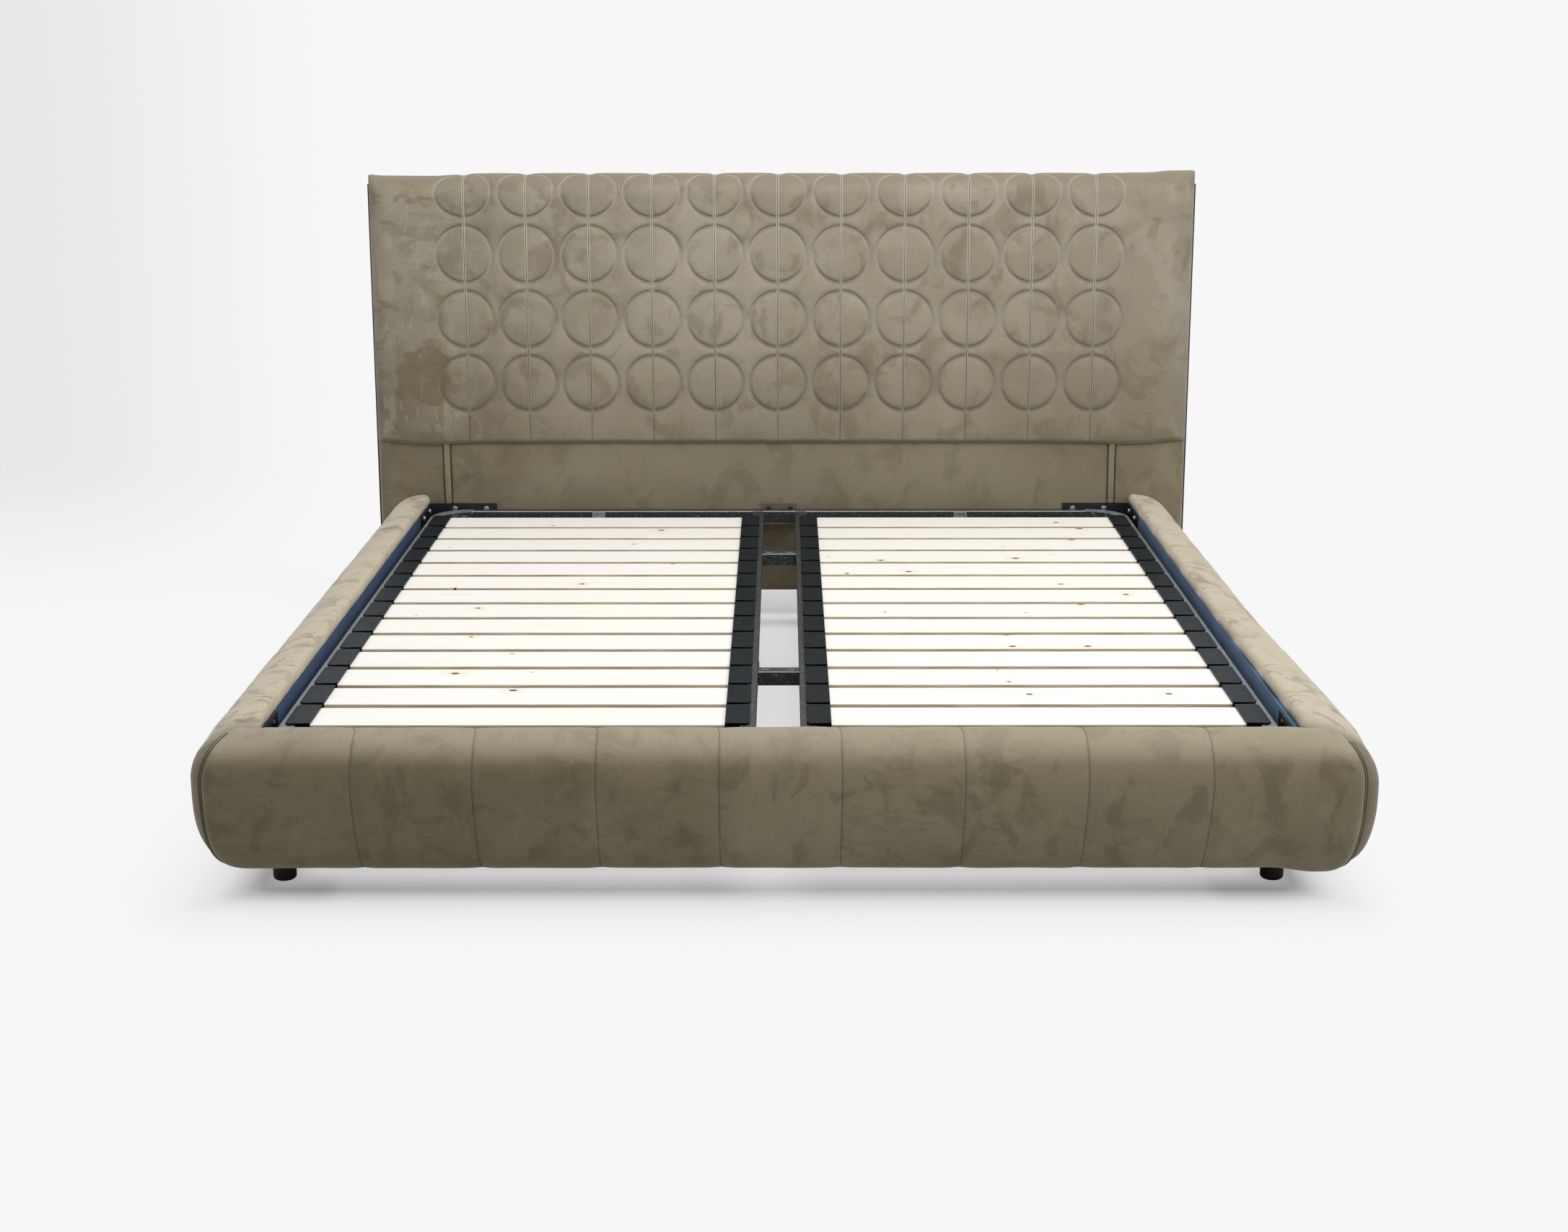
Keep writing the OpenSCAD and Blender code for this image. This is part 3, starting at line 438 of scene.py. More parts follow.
leather_panel = nubuck("nubuck_plain_panel", (127, 118, 95), (146, 138, 114), (106, 97, 74), (166, 156, 134),
                       0.4, 0.95, 0.15, 0.7, 0.3, Strokes_Left_Of=-0.7, Dark_Left_Of=-0.8)
leather_back = nubuck("nubuck_back", (112, 104, 84), (128, 120, 98), (94, 86, 68), (160, 150, 128),
                      0.3, 0.95, 0.2, 0.5, 0.2)
# Leather in painted shade, for the small middle bracket
leather_shaded = nubuck("nubuck_shaded", (103, 95, 74), (111, 103, 81), (92, 84, 64), (106, 98, 76),
                        0.4, 0.95, 0.1, 0.5, 0.0)
piping_mat = finish_material("dark_piping", Base_Color=(58, 53, 42), Roughness=0.85)
thread_pale = finish_material("pale_thread", Roughness=0.7)
# Painted shade: the pale thread is darker towards the bottom of the headboard
colour_by_place(thread_pale, (174, 165, 146), (234, 227, 211), lambda w, x, y, z: w.ramp(z, 0.58, 1.02))
# Dark thread for stitches, with the painted shade of their holes; it also draws painted shade as dark lines
# in seams and creases
thread_and_seam_shade = finish_material("dark_thread_and_seam_shade", Base_Color=(52, 45, 31), Roughness=0.8)
pine_mat = wooden("pine_slats", (252, 250, 243), (236, 219, 186), (196, 176, 142), (84, 48, 30),
                  SLAT_PITCH * MM, FIRST_SLAT * MM + SHIFT_Y * MM, 0.25)
board_mat = wooden("raw_board", (190, 160, 118), (160, 128, 88), (170, 140, 100), (96, 62, 38),
                   10.0, -5.0, 0.2)
steel = ((30, 33, 36), (112, 118, 122), 0.002, 0.36, 0.4, 0.0008, 0.6)
coat_mat = coated("speckled_steel", *steel, Edge_Glint=0.85)
gap_bar_mat = coated("speckled_steel_gap_bars", *steel, Edge_Glint=0.85,
                     Glint_Above=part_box("gap_bar_head")[1][2] - 0.0018)
# The outer tubes' tops take a lighter colour: painted light
coat_outer_mat = coated("speckled_steel_outer", (34, 37, 40), (146, 151, 154), 0.003, 0.42, 0.4, 0.0008, 0.6,
                        Upper=(118, 124, 127), Upper_Share=0.9)
holder_mat = coated("moulded_holder", (17, 24, 30), (31, 42, 50), 0.004, 0.5, 0.45, 0.0007, 0.08,
                    Front_Shade=0.9)
bracket_mat = coated("black_steel", (15, 16, 19), (26, 28, 32), 0.004, 0.5, 0.2, 0.0004)
leg_mat = coated("black_leg", (13, 13, 14), (22, 22, 23), 0.003, 0.5, 0.2, 0.0004, 0.3)
clip_mat = coated("galvanised_clip", (168, 172, 174), (206, 210, 210), 0.006, 0.5, 0.1, 0.0003, metallic=0.6)
# The bolts of the small middle bracket and those at the foot are given a darker colour
zinc_mat = finish_material("zinc_bolts", Metallic=0.9, Roughness=0.34)
colour_by_place(zinc_mat, (176, 178, 178), (66, 64, 58), lambda w, x, y, z: w.maths(
    "MAXIMUM", w.ramp(w.maths("ABSOLUTE", x), 0.2, 0.15), w.ramp(y, -0.7, -0.8)))
# The light reaches the two sides' linings differently; these tones even that out, with painted shade on the
# left lining and painted light on the right one
lining_painted_shade_mat = lining("blue_lining_painted_shade", (46, 68, 98), (74, 98, 130))
lining_painted_light_mat = lining("blue_lining_painted_light", (76, 102, 132), (112, 140, 170))

# A later row paints over an earlier one. The side rails' lining goes on over their boards' upper edges
for starts, material in ((("slats_",), pine_mat),
                         (("base_", "foot_strap"), coat_mat),
                         (("base_side_tube", "base_corner"), coat_outer_mat),
                         (("gap_bar",), gap_bar_mat),
                         (("slat_holders",), holder_mat),
                         (("corner_bracket", "side_ledge", "middle_leg"), bracket_mat),
                         (("leg_head", "leg_foot", "middle_leg_glides"), leg_mat),
                         # The small middle bracket is painted as leather in shade
                         (("centre_bracket",), leather_shaded),
                         (("rail_bolts", "headboard_bolts", "leg_nuts"), zinc_mat),
                         (("head_bar_clips",), clip_mat),
                         (("front_rail_lining", "side_rail_lining_right"), lining_painted_light_mat),
                         (("side_rail_lining_left", "side_rail_board"), lining_painted_shade_mat),
                         (("front_rail_board", "headboard_frame"), board_mat)):
    for name in nodes:
        if name.startswith(starts):
            nodes[name].data.materials.clear()
            nodes[name].data.materials.append(material)


# Mesh helpers

def in_scene(name, data):
    o = bpy.data.objects.new(name, data)
    bpy.context.scene.collection.objects.link(o)
    return o


def evaluated(o):
    return o.evaluated_get(bpy.context.evaluated_depsgraph_get())


def new_object(name, verts, faces, material, smooth_angle=50.0):
    """A mesh object at the origin, from points in metres in the row frame."""
    me = bpy.data.meshes.new(name)
    me.from_pydata([tuple(v) for v in verts], [], [tuple(int(k) for k in f) for f in faces])
    me.validate()
    bm = bmesh.new()
    bm.from_mesh(me)
    bmesh.ops.remove_doubles(bm, verts=bm.verts, dist=2e-5)
    bmesh.ops.dissolve_degenerate(bm, edges=bm.edges, dist=1e-6)
    bmesh.ops.recalc_face_normals(bm, faces=bm.faces)
    bm.to_mesh(me)
    bm.free()
    me.shade_smooth()
    me.set_sharp_from_angle(angle=math.radians(smooth_angle))
    me.materials.append(material)
    return in_scene(name, me)


def grid_faces(ni, nj, closed_j=False, start=0):
    """Quads of a grid of ni by nj points."""
    i, j = np.meshgrid(np.arange(ni - 1), np.arange(nj if closed_j else nj - 1), indexing="ij")
    i, j = i.ravel(), j.ravel()
    k = (j + 1) % nj
    return np.stack([i * nj + j, (i + 1) * nj + j, (i + 1) * nj + k, i * nj + k], axis=1) + start


def closed_faces(n, k, start=0):
    """Faces of n rings of k points joined to a tube, with flat ends."""
    ends = [tuple(range(start, start + k)), tuple(range(start + (n - 1) * k, start + n * k))]
    return [tuple(f) for f in grid_faces(n, k, True, start)] + ends


def unit(v, least=0.0):
    return v / np.maximum(np.linalg.norm(v, axis=-1, keepdims=True), least)


def face_normals(points):
    """Unit normals of a grid surface, by central differences."""
    return unit(np.cross(np.gradient(points, axis=0), np.gradient(points, axis=1)), 1e-9)


def resample(path, step):
    """An open path of 2-D points, evenly spaced; returns the points and their lengths along the path."""
    path = np.array(path, dtype=float)
    d = np.concatenate([[0], np.cumsum(np.linalg.norm(np.diff(path, axis=0), axis=1))])
    s = np.linspace(0, d[-1], max(2, int(round(d[-1] / step)) + 1))
    return np.stack([np.interp(s, d, path[:, 0]), np.interp(s, d, path[:, 1])], axis=1), s


def fields(values, xs, ss, x, s):
    """Bilinear values of a coarse grid at points (x, s)."""
    x, s = np.broadcast_arrays(x, s)
    i = np.clip(np.searchsorted(xs, x) - 1, 0, len(xs) - 2)
    j = np.clip(np.searchsorted(ss, s) - 1, 0, len(ss) - 2)
    u = np.clip((x - xs[i]) / (xs[i + 1] - xs[i]), 0, 1)
    v = np.clip((s - ss[j]) / (ss[j + 1] - ss[j]), 0, 1)
    return (values[i, j] * (1 - u) * (1 - v) + values[i + 1, j] * u * (1 - v)
            + values[i, j + 1] * (1 - u) * v + values[i + 1, j + 1] * u * v)


def ripple(points, scale, seed, stretch=(1, 1, 1)):
    """Smooth noise between about -1 and 1 at points in metres."""
    p = np.array(points).reshape(-1, 3) * np.array(stretch) * scale + seed * 7.31
    out = np.fromiter((noise.noise(v) for v in p), dtype=float, count=len(p))
    return out.reshape(np.array(points).shape[:-1])


def inflate(points, pinned, pressure, cap, frames=16):
    """Cloth simulation of a grid of points (metres) held at the pinned ones and pressed out from inside.
    Returns how far each point moved along its normal, in millimetres, up to the cap."""
    ni, nj = points.shape[:2]
    me = bpy.data.meshes.new("sim")
    me.from_pydata([tuple(p) for p in points.reshape(-1, 3)], [],
                   [tuple(int(k) for k in f) for f in grid_faces(ni, nj)])
    me.update()
    o = in_scene("sim", me)
    held = o.vertex_groups.new(name="held")
    held.add([int(k) for k in np.flatnonzero(pinned.ravel())], 1.0, "REPLACE")
    mod = o.modifiers.new("cloth", "CLOTH")
    c = mod.settings
    c.quality = 6
    c.mass = 0.4
    c.air_damping = 4.0
    c.tension_stiffness = c.compression_stiffness = c.shear_stiffness = 12.0
    c.tension_damping = c.compression_damping = c.shear_damping = 12.0
    c.bending_stiffness = 0.6
    c.use_pressure = True
    c.uniform_pressure_force = pressure
    c.effector_weights.gravity = 0.0
    c.vertex_group_mass = "held"
    c.pin_stiffness = 4.0
    mod.collision_settings.use_collision = False
    mod.point_cache.frame_start = 1
    mod.point_cache.frame_end = frames
    for f in range(1, frames + 1):
        bpy.context.scene.frame_set(f)
    co = np.empty(len(me.vertices) * 3)
    evaluated(o).data.vertices.foreach_get("co", co)
    out = np.sum((co.reshape(ni, nj, 3) - points) * face_normals(points), axis=-1) / MM
    bpy.context.scene.frame_set(1)
    bpy.data.objects.remove(o, do_unlink=True)
    bpy.data.meshes.remove(me)
    return np.clip(np.where(np.isfinite(out), out, 0.0), -cap, cap)


def ride(o, slot, *replaced):
    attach(o, "root")
    if replaced:
        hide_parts(*replaced)


def make_stitch_tree():
    """Geometry Nodes: small stitches along every spline, made real, with their material."""
    tree = bpy.data.node_groups.new("stitch_run", "GeometryNodeTree")
    tree.interface.new_socket("Path", in_out="INPUT", socket_type="NodeSocketGeometry")
    for label, value in (("Pitch", 0.004), ("Length", 0.003), ("Thickness", 0.001)):
        tree.interface.new_socket(label, in_out="INPUT", socket_type="NodeSocketFloat").default_value = value
    tree.interface.new_socket("Thread", in_out="INPUT", socket_type="NodeSocketMaterial")
    tree.interface.new_socket("Stitches", in_out="OUTPUT", socket_type="NodeSocketGeometry")
    w = Wiring(tree)
    given = tree.nodes.new("NodeGroupInput").outputs
    even = w.add("GeometryNodeResampleCurve", {"Curve": given["Path"], "Length": given["Pitch"]},
                 mode="LENGTH")
    bead = w.add("GeometryNodeMeshUVSphere", {"Segments": 6, "Rings": 4, "Radius": 0.5})
    size = w.add("ShaderNodeCombineXYZ", {0: given["Thickness"], 1: given["Thickness"], 2: given["Length"]})
    turn = w.add("FunctionNodeAlignRotationToVector", {
        "Vector": w.add("GeometryNodeInputTangent").outputs[0]}, axis="Z")
    put = w.add("GeometryNodeInstanceOnPoints", {
        "Points": even.outputs["Curve"], "Instance": bead.outputs["Mesh"], "Rotation": turn.outputs[0],
        "Scale": size.outputs[0]})
    real = w.add("GeometryNodeRealizeInstances", {0: put.outputs[0]})
    clad = w.add("GeometryNodeSetMaterial", {"Geometry": real.outputs[0], "Material": given["Thread"]})
    return w.give(Stitches=clad.outputs[0])


STITCHES = make_stitch_tree()


def sew(name, paths, pitch, length, thickness, thread):
    """Stitches along paths of points in metres, as one plain mesh."""
    cu = bpy.data.curves.new(name + "_path", "CURVE")
    cu.dimensions = "3D"
    for path in paths:
        sp = cu.splines.new("POLY")
        sp.points.add(len(path) - 1)
        sp.points.foreach_set("co", np.concatenate([path, np.ones((len(path), 1))], axis=1).ravel())
    src = in_scene(name + "_path", cu)
    mod = src.modifiers.new("stitches", "NODES")
    mod.node_group = STITCHES
    values = {"Pitch": pitch * MM, "Length": length * MM, "Thickness": thickness * MM, "Thread": thread}
    for item in STITCHES.interface.items_tree:
        if item.in_out == "INPUT" and item.name in values:
            mod[item.identifier] = values[item.name]
    me = bpy.data.meshes.new_from_object(evaluated(src))
    me.name = name
    if not me.materials:
        me.materials.append(thread)
    me.shade_smooth()
    o = in_scene(name, me)
    bpy.data.objects.remove(src, do_unlink=True)
    bpy.data.curves.remove(cu)
    return o


def tube(name, path, radius, material, sides=8):
    """A round tube along a path of points in metres, with closed ends."""
    path = np.array(path, dtype=float)
    t = unit(np.gradient(path, axis=0))
    a = unit(np.cross(t, [0.0, 1.0, 0.0]))
    b = np.cross(t, a)
    turn = (np.arange(sides) * math.tau / sides)[None, :, None]
    rings = path[:, None] + radius * (a[:, None] * np.cos(turn) + b[:, None] * np.sin(turn))
    return loft(name, rings, material)


def loft(name, rings, material, smooth_angle=50.0):
    """A closed solid from rings of points (n, k, 3) in metres, with flat ends."""
    return new_object(name, rings.reshape(-1, 3), closed_faces(*rings.shape[:2]), material, smooth_angle)


# Rails. What is named here is set after the photograph, in millimetres

# Half the front rail's cover at its belly, where its ends begin to round, how far they round above and below
# the belly, and the radius of their edge
FRONT_REACH, END_START, END_ABOVE, END_BELOW, END_EDGE = 988.0, 860.0, 52.0, 65.0, 22.0
# Its lip spreads over the well's corners, and its bottom is drawn in by a share of the width
LIP_SPREAD, DRAWN_IN = 30.0, 0.011
# It lies a little to the right, and more so at its ends, where its top sinks and its right bottom hangs
ASIDE, END_ASIDE, END_SINKS, RIGHT_HANGS = 4.0, 5.0, 3.0, 8.0
# A side rail's front corner: how far it rounds inwards and forwards, how much less forwards at the bottom,
# how far it passes the well, and how far its crown sinks
CORNER_IN, CORNER_FORE, CORNER_LOW, CORNER_PAST, CORNER_SINKS = 60.0, 95.0, 50.0, 2.0, 10.0
# The gap between a side rail and the headboard
HEAD_GAP = 0.6
# The last stretch of the front rail's grid, with closer rows
TAIL = 50.0


def arc(cu, cz, ru, rz, a0, a1, n):
    a = np.radians(np.linspace(a0, a1, n))
    return np.stack([cu + ru * np.cos(a), cz + rz * np.sin(a)], axis=1)


def rail_path(step, thick=RAIL_T, foot=FRONT_FOOT, power=2.0):
    """A rail's visible section, from the lining's upper edge over the crown and down to its bottom."""
    a = np.radians(np.linspace(1, 90, 90))
    low = np.stack([thick - foot + foot * np.cos(a) ** (2 / power),
                    BULGE_Z - (BULGE_Z - RAIL_Z0) * np.sin(a) ** (2 / power)], axis=1)
    return resample(np.concatenate([
        [[0.0, LIP_Z]], arc(CROWN, RAIL_TOP - CROWN, CROWN, CROWN, 180, 92, 12),
        arc(CROWN, BULGE_Z, thick - CROWN, RAIL_TOP - BULGE_Z, 90, 0, 60), low, [[26.0, RAIL_Z0]]]), step)


# The hidden side of the section, back up along the board
HIDDEN = np.array([[BOARD_U, 90.0], [BOARD_U, 190.0], [BOARD_U, LIP_Z]])


def below_belly(z):
    """0 at the rail's widest height and above it, 1 at its bottom."""
    return np.clip((BULGE_Z - z) / (BULGE_Z - RAIL_Z0), 0, 1)


def half_outline(z):
    """Half the front rail's width at a height."""
    up = np.clip((z - BULGE_Z) / (RAIL_TOP - BULGE_Z), 0, 1)
    above = FRONT_REACH - END_ABOVE + END_ABOVE * np.sqrt(1 - up ** 2)
    below = FRONT_REACH - END_BELOW + END_BELOW * (1 - below_belly(z) ** 4) ** (1 / 3.5)
    return np.where(z >= BULGE_Z, above, below)


def front_point(x, uz):
    """A point of the front rail: x is the distance along it, uz the section's point."""
    u, z = uz[..., 0], uz[..., 1]
    is_lip = (u < CROWN - 0.5) & (z > BULGE_Z)
    half = np.where(is_lip, WELL_X + LIP_SPREAD * np.clip(u / CROWN, 0, 1), half_outline(z))
    a = np.abs(x)
    far = np.clip((a - END_START) / (FRONT_HALF - END_START), 0, 1)
    across = np.where(a > END_START, END_START + (half - END_START) * far, a)
    across = across * (1 - DRAWN_IN * below_belly(z) * (1 - smoothstep((a - 760) / 160)))
    r = np.minimum(END_EDGE, 0.6 * u)
    e = np.clip(1 - (half - across) / np.maximum(r, 1e-3), 0, 1)
    depth = u - r * (1 - np.sqrt(1 - e ** 2))
    aside = (ASIDE + END_ASIDE * smoothstep((a - 500) / 490)) * smoothstep(u / 40)
    z = z - END_SINKS * smoothstep((a - 890) / 80) * smoothstep((z - 290) / 36)
    z = z - RIGHT_HANGS * smoothstep((x - 840) / 110) * smoothstep((150 - z) / 70)
    return np.stack(np.broadcast_arrays(np.sign(x) * across + aside, -WELL_Y - depth, z), axis=-1)


def side_point(t, uz, at_front, lifted, lowered, splay):
    """A point of the right side rail: t runs from the headboard (0) to the front, then round the corner.
    The rail is a little thinner at the headboard and at_front thick at the front. Its lower front corner is
    lifted, so that it ends behind the front rail's, and its belly is lowered there. Towards the front it
    moves outwards by splay."""
    z = uz[..., 1]
    fore = smoothstep((t / LENGTH - 0.5) / 0.5)
    thick = RAIL_T + (at_front - RAIL_T) * fore
    past = np.maximum(uz[..., 0] - BOARD_U, 0)
    u = np.minimum(uz[..., 0], BOARD_U) + past * (thick - BOARD_U) / (SIDE_T - BOARD_U)
    s = u / RAIL_T
    sy = np.minimum(s, uz[..., 0] / SIDE_T)
    turn = np.clip((t - LENGTH) / AROUND, 0, 1) * math.pi / 2
    belly = np.sin(np.pi * np.clip((z - RAIL_Z0) / (RAIL_TOP - RAIL_Z0), 0, 1))
    z = z - lowered * belly * smoothstep((t - LENGTH + 110) / 110) * (uz[..., 0] > BOARD_U)
    low = smoothstep((190 - z) / 110)
    z = z + lifted * low * smoothstep((t - LENGTH + 60) / 100)
    z = z - CORNER_SINKS * smoothstep((z - 280) / 40) * smoothstep((t - LENGTH + 75) / 85)
    head = WELL_Y + (uz[..., 1] - DECK_Z) * math.tan(LEAN) - HEAD_GAP
    straight = t <= LENGTH
    y = np.where(straight, head - t * (head + WELL_Y - sy * CORNER_PAST) / LENGTH,
                 -WELL_Y + sy * (CORNER_PAST - (CORNER_FORE - CORNER_LOW * low) * np.sin(turn)))
    corner = WELL_X + s * (RAIL_T - CORNER_IN + CORNER_IN * np.cos(turn))
    x = np.where(straight, WELL_X + u, corner) + splay * fore
    return np.stack(np.broadcast_arrays(x, y, z), axis=-1)


def to_nearest(values, marks):
    return np.min(np.abs(values[:, None] - np.array(marks)[None]), axis=1)


def seam_dip(gap):
    """How far the cover is drawn in at a distance from a seam, in millimetres."""
    return 1.8 * hump(gap, 2.0) + 2.4 * hump(gap, 16.0)


def axis_with_seams(lo, hi, seams, step=9.0):
    """Positions along a rail with extra ones at its seams."""
    base = list(np.linspace(lo, hi, int((hi - lo) / step) + 1))
    for c in seams:
        near = [c + k * d for d in (0, 1.2, 2.6, 4.5, 7.5, 12) for k in (-1, 1)]
        base = [b for b in base if abs(b - c) > 15] + near
    return np.array(sorted(set(round(b, 3) for b in base)))


def without_folds(puff):
    """The simulated swell smoothed across the section: the real cover has no folds along the rail."""
    reach = np.exp(-(np.arange(-8, 9) / 3.5) ** 2)
    wide = np.pad(puff, ((0, 0), (8, 8)), mode="edge")
    even = np.stack([np.convolve(row, reach / reach.sum(), "valid") for row in wide])
    j = np.arange(puff.shape[1])
    return even * np.clip(np.minimum(j, j[::-1]) / 3.0, 0, 1)[None]


def rail_surface(make, section, axis, coarse_axis, seams, outward):
    """A rail's even surface, its outward normals and how far the cover stands off it, in millimetres.
    outward is -1 where the grid's own normals point inwards."""
    uz, s = rail_path(FINE, *section)
    coarse_uz, coarse_s = rail_path(COARSE, *section)
    flat = make(coarse_axis[:, None], coarse_uz[None])
    hold = np.zeros(flat.shape[:2], dtype=bool)
    hold[:, :2] = hold[:, -2:] = True
    hold[:2] = hold[-2:] = True
    for c in seams:
        hold[np.argmin(np.abs(coarse_axis - c))] = True
    puff = 1.25 * outward * without_folds(inflate(placed(flat), hold, outward * 2.2, 7.0))
    base = make(axis[:, None], uz[None])
    out = fields(puff, coarse_axis, coarse_s, axis[:, None], s[None])
    across = 0.25 + 0.75 * np.sin(np.pi * np.clip(s / s[-1], 0, 1)) ** 0.5
    out = out - seam_dip(to_nearest(axis, seams))[:, None] * across[None]
    return s, base, outward * face_normals(base), out


def with_hidden_side(make, axis, skin):
    hidden = [make(axis, np.broadcast_to(h, (len(axis), 2))) for h in HIDDEN]
    return np.concatenate([skin, np.stack(hidden, axis=1)], axis=1)


def stitch_lines(skin, normals, axis, seams):
    """Lines along the rail's seams, a little proud of the cover."""
    rows = [np.argmin(np.abs(axis - c)) for c in seams]
    return [skin[i, 4:-1] + normals[i, 4:-1] * 0.3 for i in rows]


def build_front_rail():
    seams = [(k - 3.5) * SEAM_PITCH for k in range(8)]
    tail = FRONT_HALF - TAIL * (1 - np.sin(np.linspace(0, math.pi / 2, 12)))
    axis = axis_with_seams(TAIL - FRONT_HALF, FRONT_HALF - TAIL, seams)
    axis = np.concatenate([-tail[::-1], axis[1:-1], tail])
    ends = FRONT_HALF - np.array([0, 12, 27])
    coarse = np.concatenate([-ends, np.linspace(-945, 945, 136), ends[::-1]])
    s, base, n, out = rail_surface(front_point, (), axis, coarse, seams, -1)
    m = placed(base)
    out = out + 0.9 * ripple(m, 7.0, 1) + 0.5 * ripple(m, 18.0, 2, (1, 1, 1.6))
    fade = np.clip((FRONT_HALF - np.abs(axis)) / 30, 0, 1)[:, None]
    skin = base + n * (out * fade)[..., None]
    rings = with_hidden_side(front_point, axis, skin)
    return loft("front_rail_cover", placed(rings), leather_front), stitch_lines(skin, n, axis, seams)


def build_side_rail(shape, swell, seed):
    """The right side rail's rings and stitch lines, in millimetres."""
    def make(t, uz):
        return side_point(t, uz, *shape)
    seams = [WELL_Y - k * SEAM_PITCH for k in range(-4, 5)]
    axis = axis_with_seams(0, LENGTH, seams)
    axis = np.concatenate([[0, 1.0, 3.0, 6.0, 10.0], axis[axis > 12],
                           LENGTH + np.linspace(0, AROUND, 22)[1:]])
    coarse = np.concatenate([np.linspace(0, LENGTH, 150), LENGTH + np.linspace(0, AROUND, 12)[1:]])
    s, base, n, out = rail_surface(make, (SIDE_T, SIDE_FOOT, 2.6), axis, coarse, seams, 1)
    m = placed(base)
    out = out + 1.0 * ripple(m, 7.0, seed + 1) + 0.6 * ripple(m, 20.0, seed + 2, (1, 1.5, 1))
    # The crown swells between the seams, so that its inner edge is scalloped
    gap = to_nearest(axis, seams)[:, None]
    out = out + swell * hump(s - 17, 12.0)[None] * smoothstep(s / 8)[None] * (
        1 - 1.35 * hump(gap, 42.0)) * (1 + 0.5 * ripple(m, 4.0, seed + 5))
    # Creases on the inner slope, in patches
    crease = np.abs(ripple(m, 9.0, seed, (0.9, 2.6, 1.0)))
    patchy = 0.5 + 0.5 * np.clip(ripple(m, 5.0, seed + 3) * 2, -1, 1)
    out = out - 2.4 * hump(s - 30, 45.0)[None] * hump(crease, 0.10) * patchy
    ends = np.clip(axis / 25.0, 0, 1)[:, None] * np.clip((LENGTH + AROUND - axis) / 60.0, 0, 1)[:, None]
    skin = base + n * (out * ends)[..., None]
    rings = with_hidden_side(make, axis, skin)
    # The head end is slightly domed where it meets the headboard
    for row in range(4):
        k = 0.955 + 0.045 * math.sqrt(1 - (1 - axis[row] / 10.0) ** 2)
        for c, middle in ((0, WELL_X + 50.0), (2, 205.0)):
            rings[row, :, c] = middle + (rings[row, :, c] - middle) * k
    return rings, stitch_lines(skin, n, axis, seams)


def mirrored(points):
    return points * [-1, 1, 1]


def cut_by(o, cutter):
    """Takes the space of the cutter out of o, which stays a plain mesh."""
    mod = o.modifiers.new("cut", "BOOLEAN")
    mod.operation = "DIFFERENCE"
    mod.object = cutter
    mod.solver = "MANIFOLD"
    me = bpy.data.meshes.new_from_object(evaluated(o))
    o.modifiers.clear()
    old = o.data
    o.data = me
    bpy.data.meshes.remove(old)


front_rail, front_stitches = build_front_rail()
ride(front_rail, "cover", "front_rail_cushion")

# The front rail, a little larger, makes the room for itself in the side rails
room = in_scene("room", front_rail.data.copy())
co, normal = np.empty((2, len(room.data.vertices) * 3))
room.data.vertices.foreach_get("co", co)
room.data.vertices.foreach_get("normal", normal)
room.data.vertices.foreach_set("co", co + normal * 0.0004)
room.data.update()

side_stitches = []
# For each side: its thickness at the front, how far its corner is lifted and its belly lowered there, its
# splay, the crown's swell and the ripples' seed
for name, shape, swell, seed in (("right", (126.0, 0.0, 26.0, 9.0), 9.0, 3),
                                 ("left", (111.0, 9.0, 10.0, 0.0), 5.0, 43)):
    rings, stitches = build_side_rail(shape, swell, seed)
    if name == "left":
        rings, stitches = mirrored(rings), [mirrored(line) for line in stitches]
    side_stitches += stitches
    side_rail = loft("side_rail_cover_" + name, placed(rings), leather_side)
    cut_by(side_rail, room)
    ride(side_rail, "cover", "side_rail_cushion_" + name)
bpy.data.objects.remove(room, do_unlink=True)


# Headboard. s is a length up the quilted cover, over its top roll and down its back

SEAM_S = PANEL_H + BOTTOM_ROLL - BOTTOM_ROLL * math.pi / 2
CROWN_S = ROLL_FLAT + TOP_ROLL * math.pi / 2
BACK_S = CROWN_S + BACK_ROLL
LOOP_S = BACK_S + HEAD_TOP - BACK_DROP - PANEL_H
COL_X = [(c - (COLS - 1) / 2) * CELL_X for c in range(COLS)]
ROW_S = [ROW_TOP - r * CELL_S for r in range(ROWS)]
# Below the last circles the twin stitching ends and only a faint crease goes on
BAND_S = ROW_S[-1] - RING_R - 9.0


def cushion_line(s):
    """The quilted cushion's section at a length s along the cover: (back from the panel's face, up)."""
    low, high, back = s < PANEL_H + BOTTOM_ROLL, s > ROLL_FLAT, s > CROWN_S
    a = np.clip((PANEL_H + BOTTOM_ROLL - s) / BOTTOM_ROLL, 0, math.pi / 2)
    y = np.where(low, BOTTOM_ROLL - PROUD - BOTTOM_ROLL * np.cos(a), -PROUD)
    z = np.where(low, PANEL_H + BOTTOM_ROLL - BOTTOM_ROLL * np.sin(a), s)
    y = np.where(s < SEAM_S, BOTTOM_ROLL - PROUD + SEAM_S - s, y)
    a = np.clip((s - ROLL_FLAT) / TOP_ROLL, 0, math.pi / 2)
    y = np.where(high, TOP_ROLL - PROUD - TOP_ROLL * np.cos(a), y)
    z = np.where(high, ROLL_FLAT + TOP_ROLL * np.sin(a), z)
    a = np.clip((s - CROWN_S) / BACK_ROLL, 0, 1) * math.pi / 2
    y = np.where(back, TOP_ROLL - PROUD + (CORE_BACK - TOP_ROLL + PROUD) * np.sin(a), y)
    z = np.where(back, HEAD_TOP - BACK_DROP + BACK_DROP * np.cos(a), z)
    z = np.where(s > BACK_S, HEAD_TOP - BACK_DROP - (s - BACK_S), z)
    return y + TUCK * smoothstep((570 - s) / 170) * (s < ROLL_FLAT), z


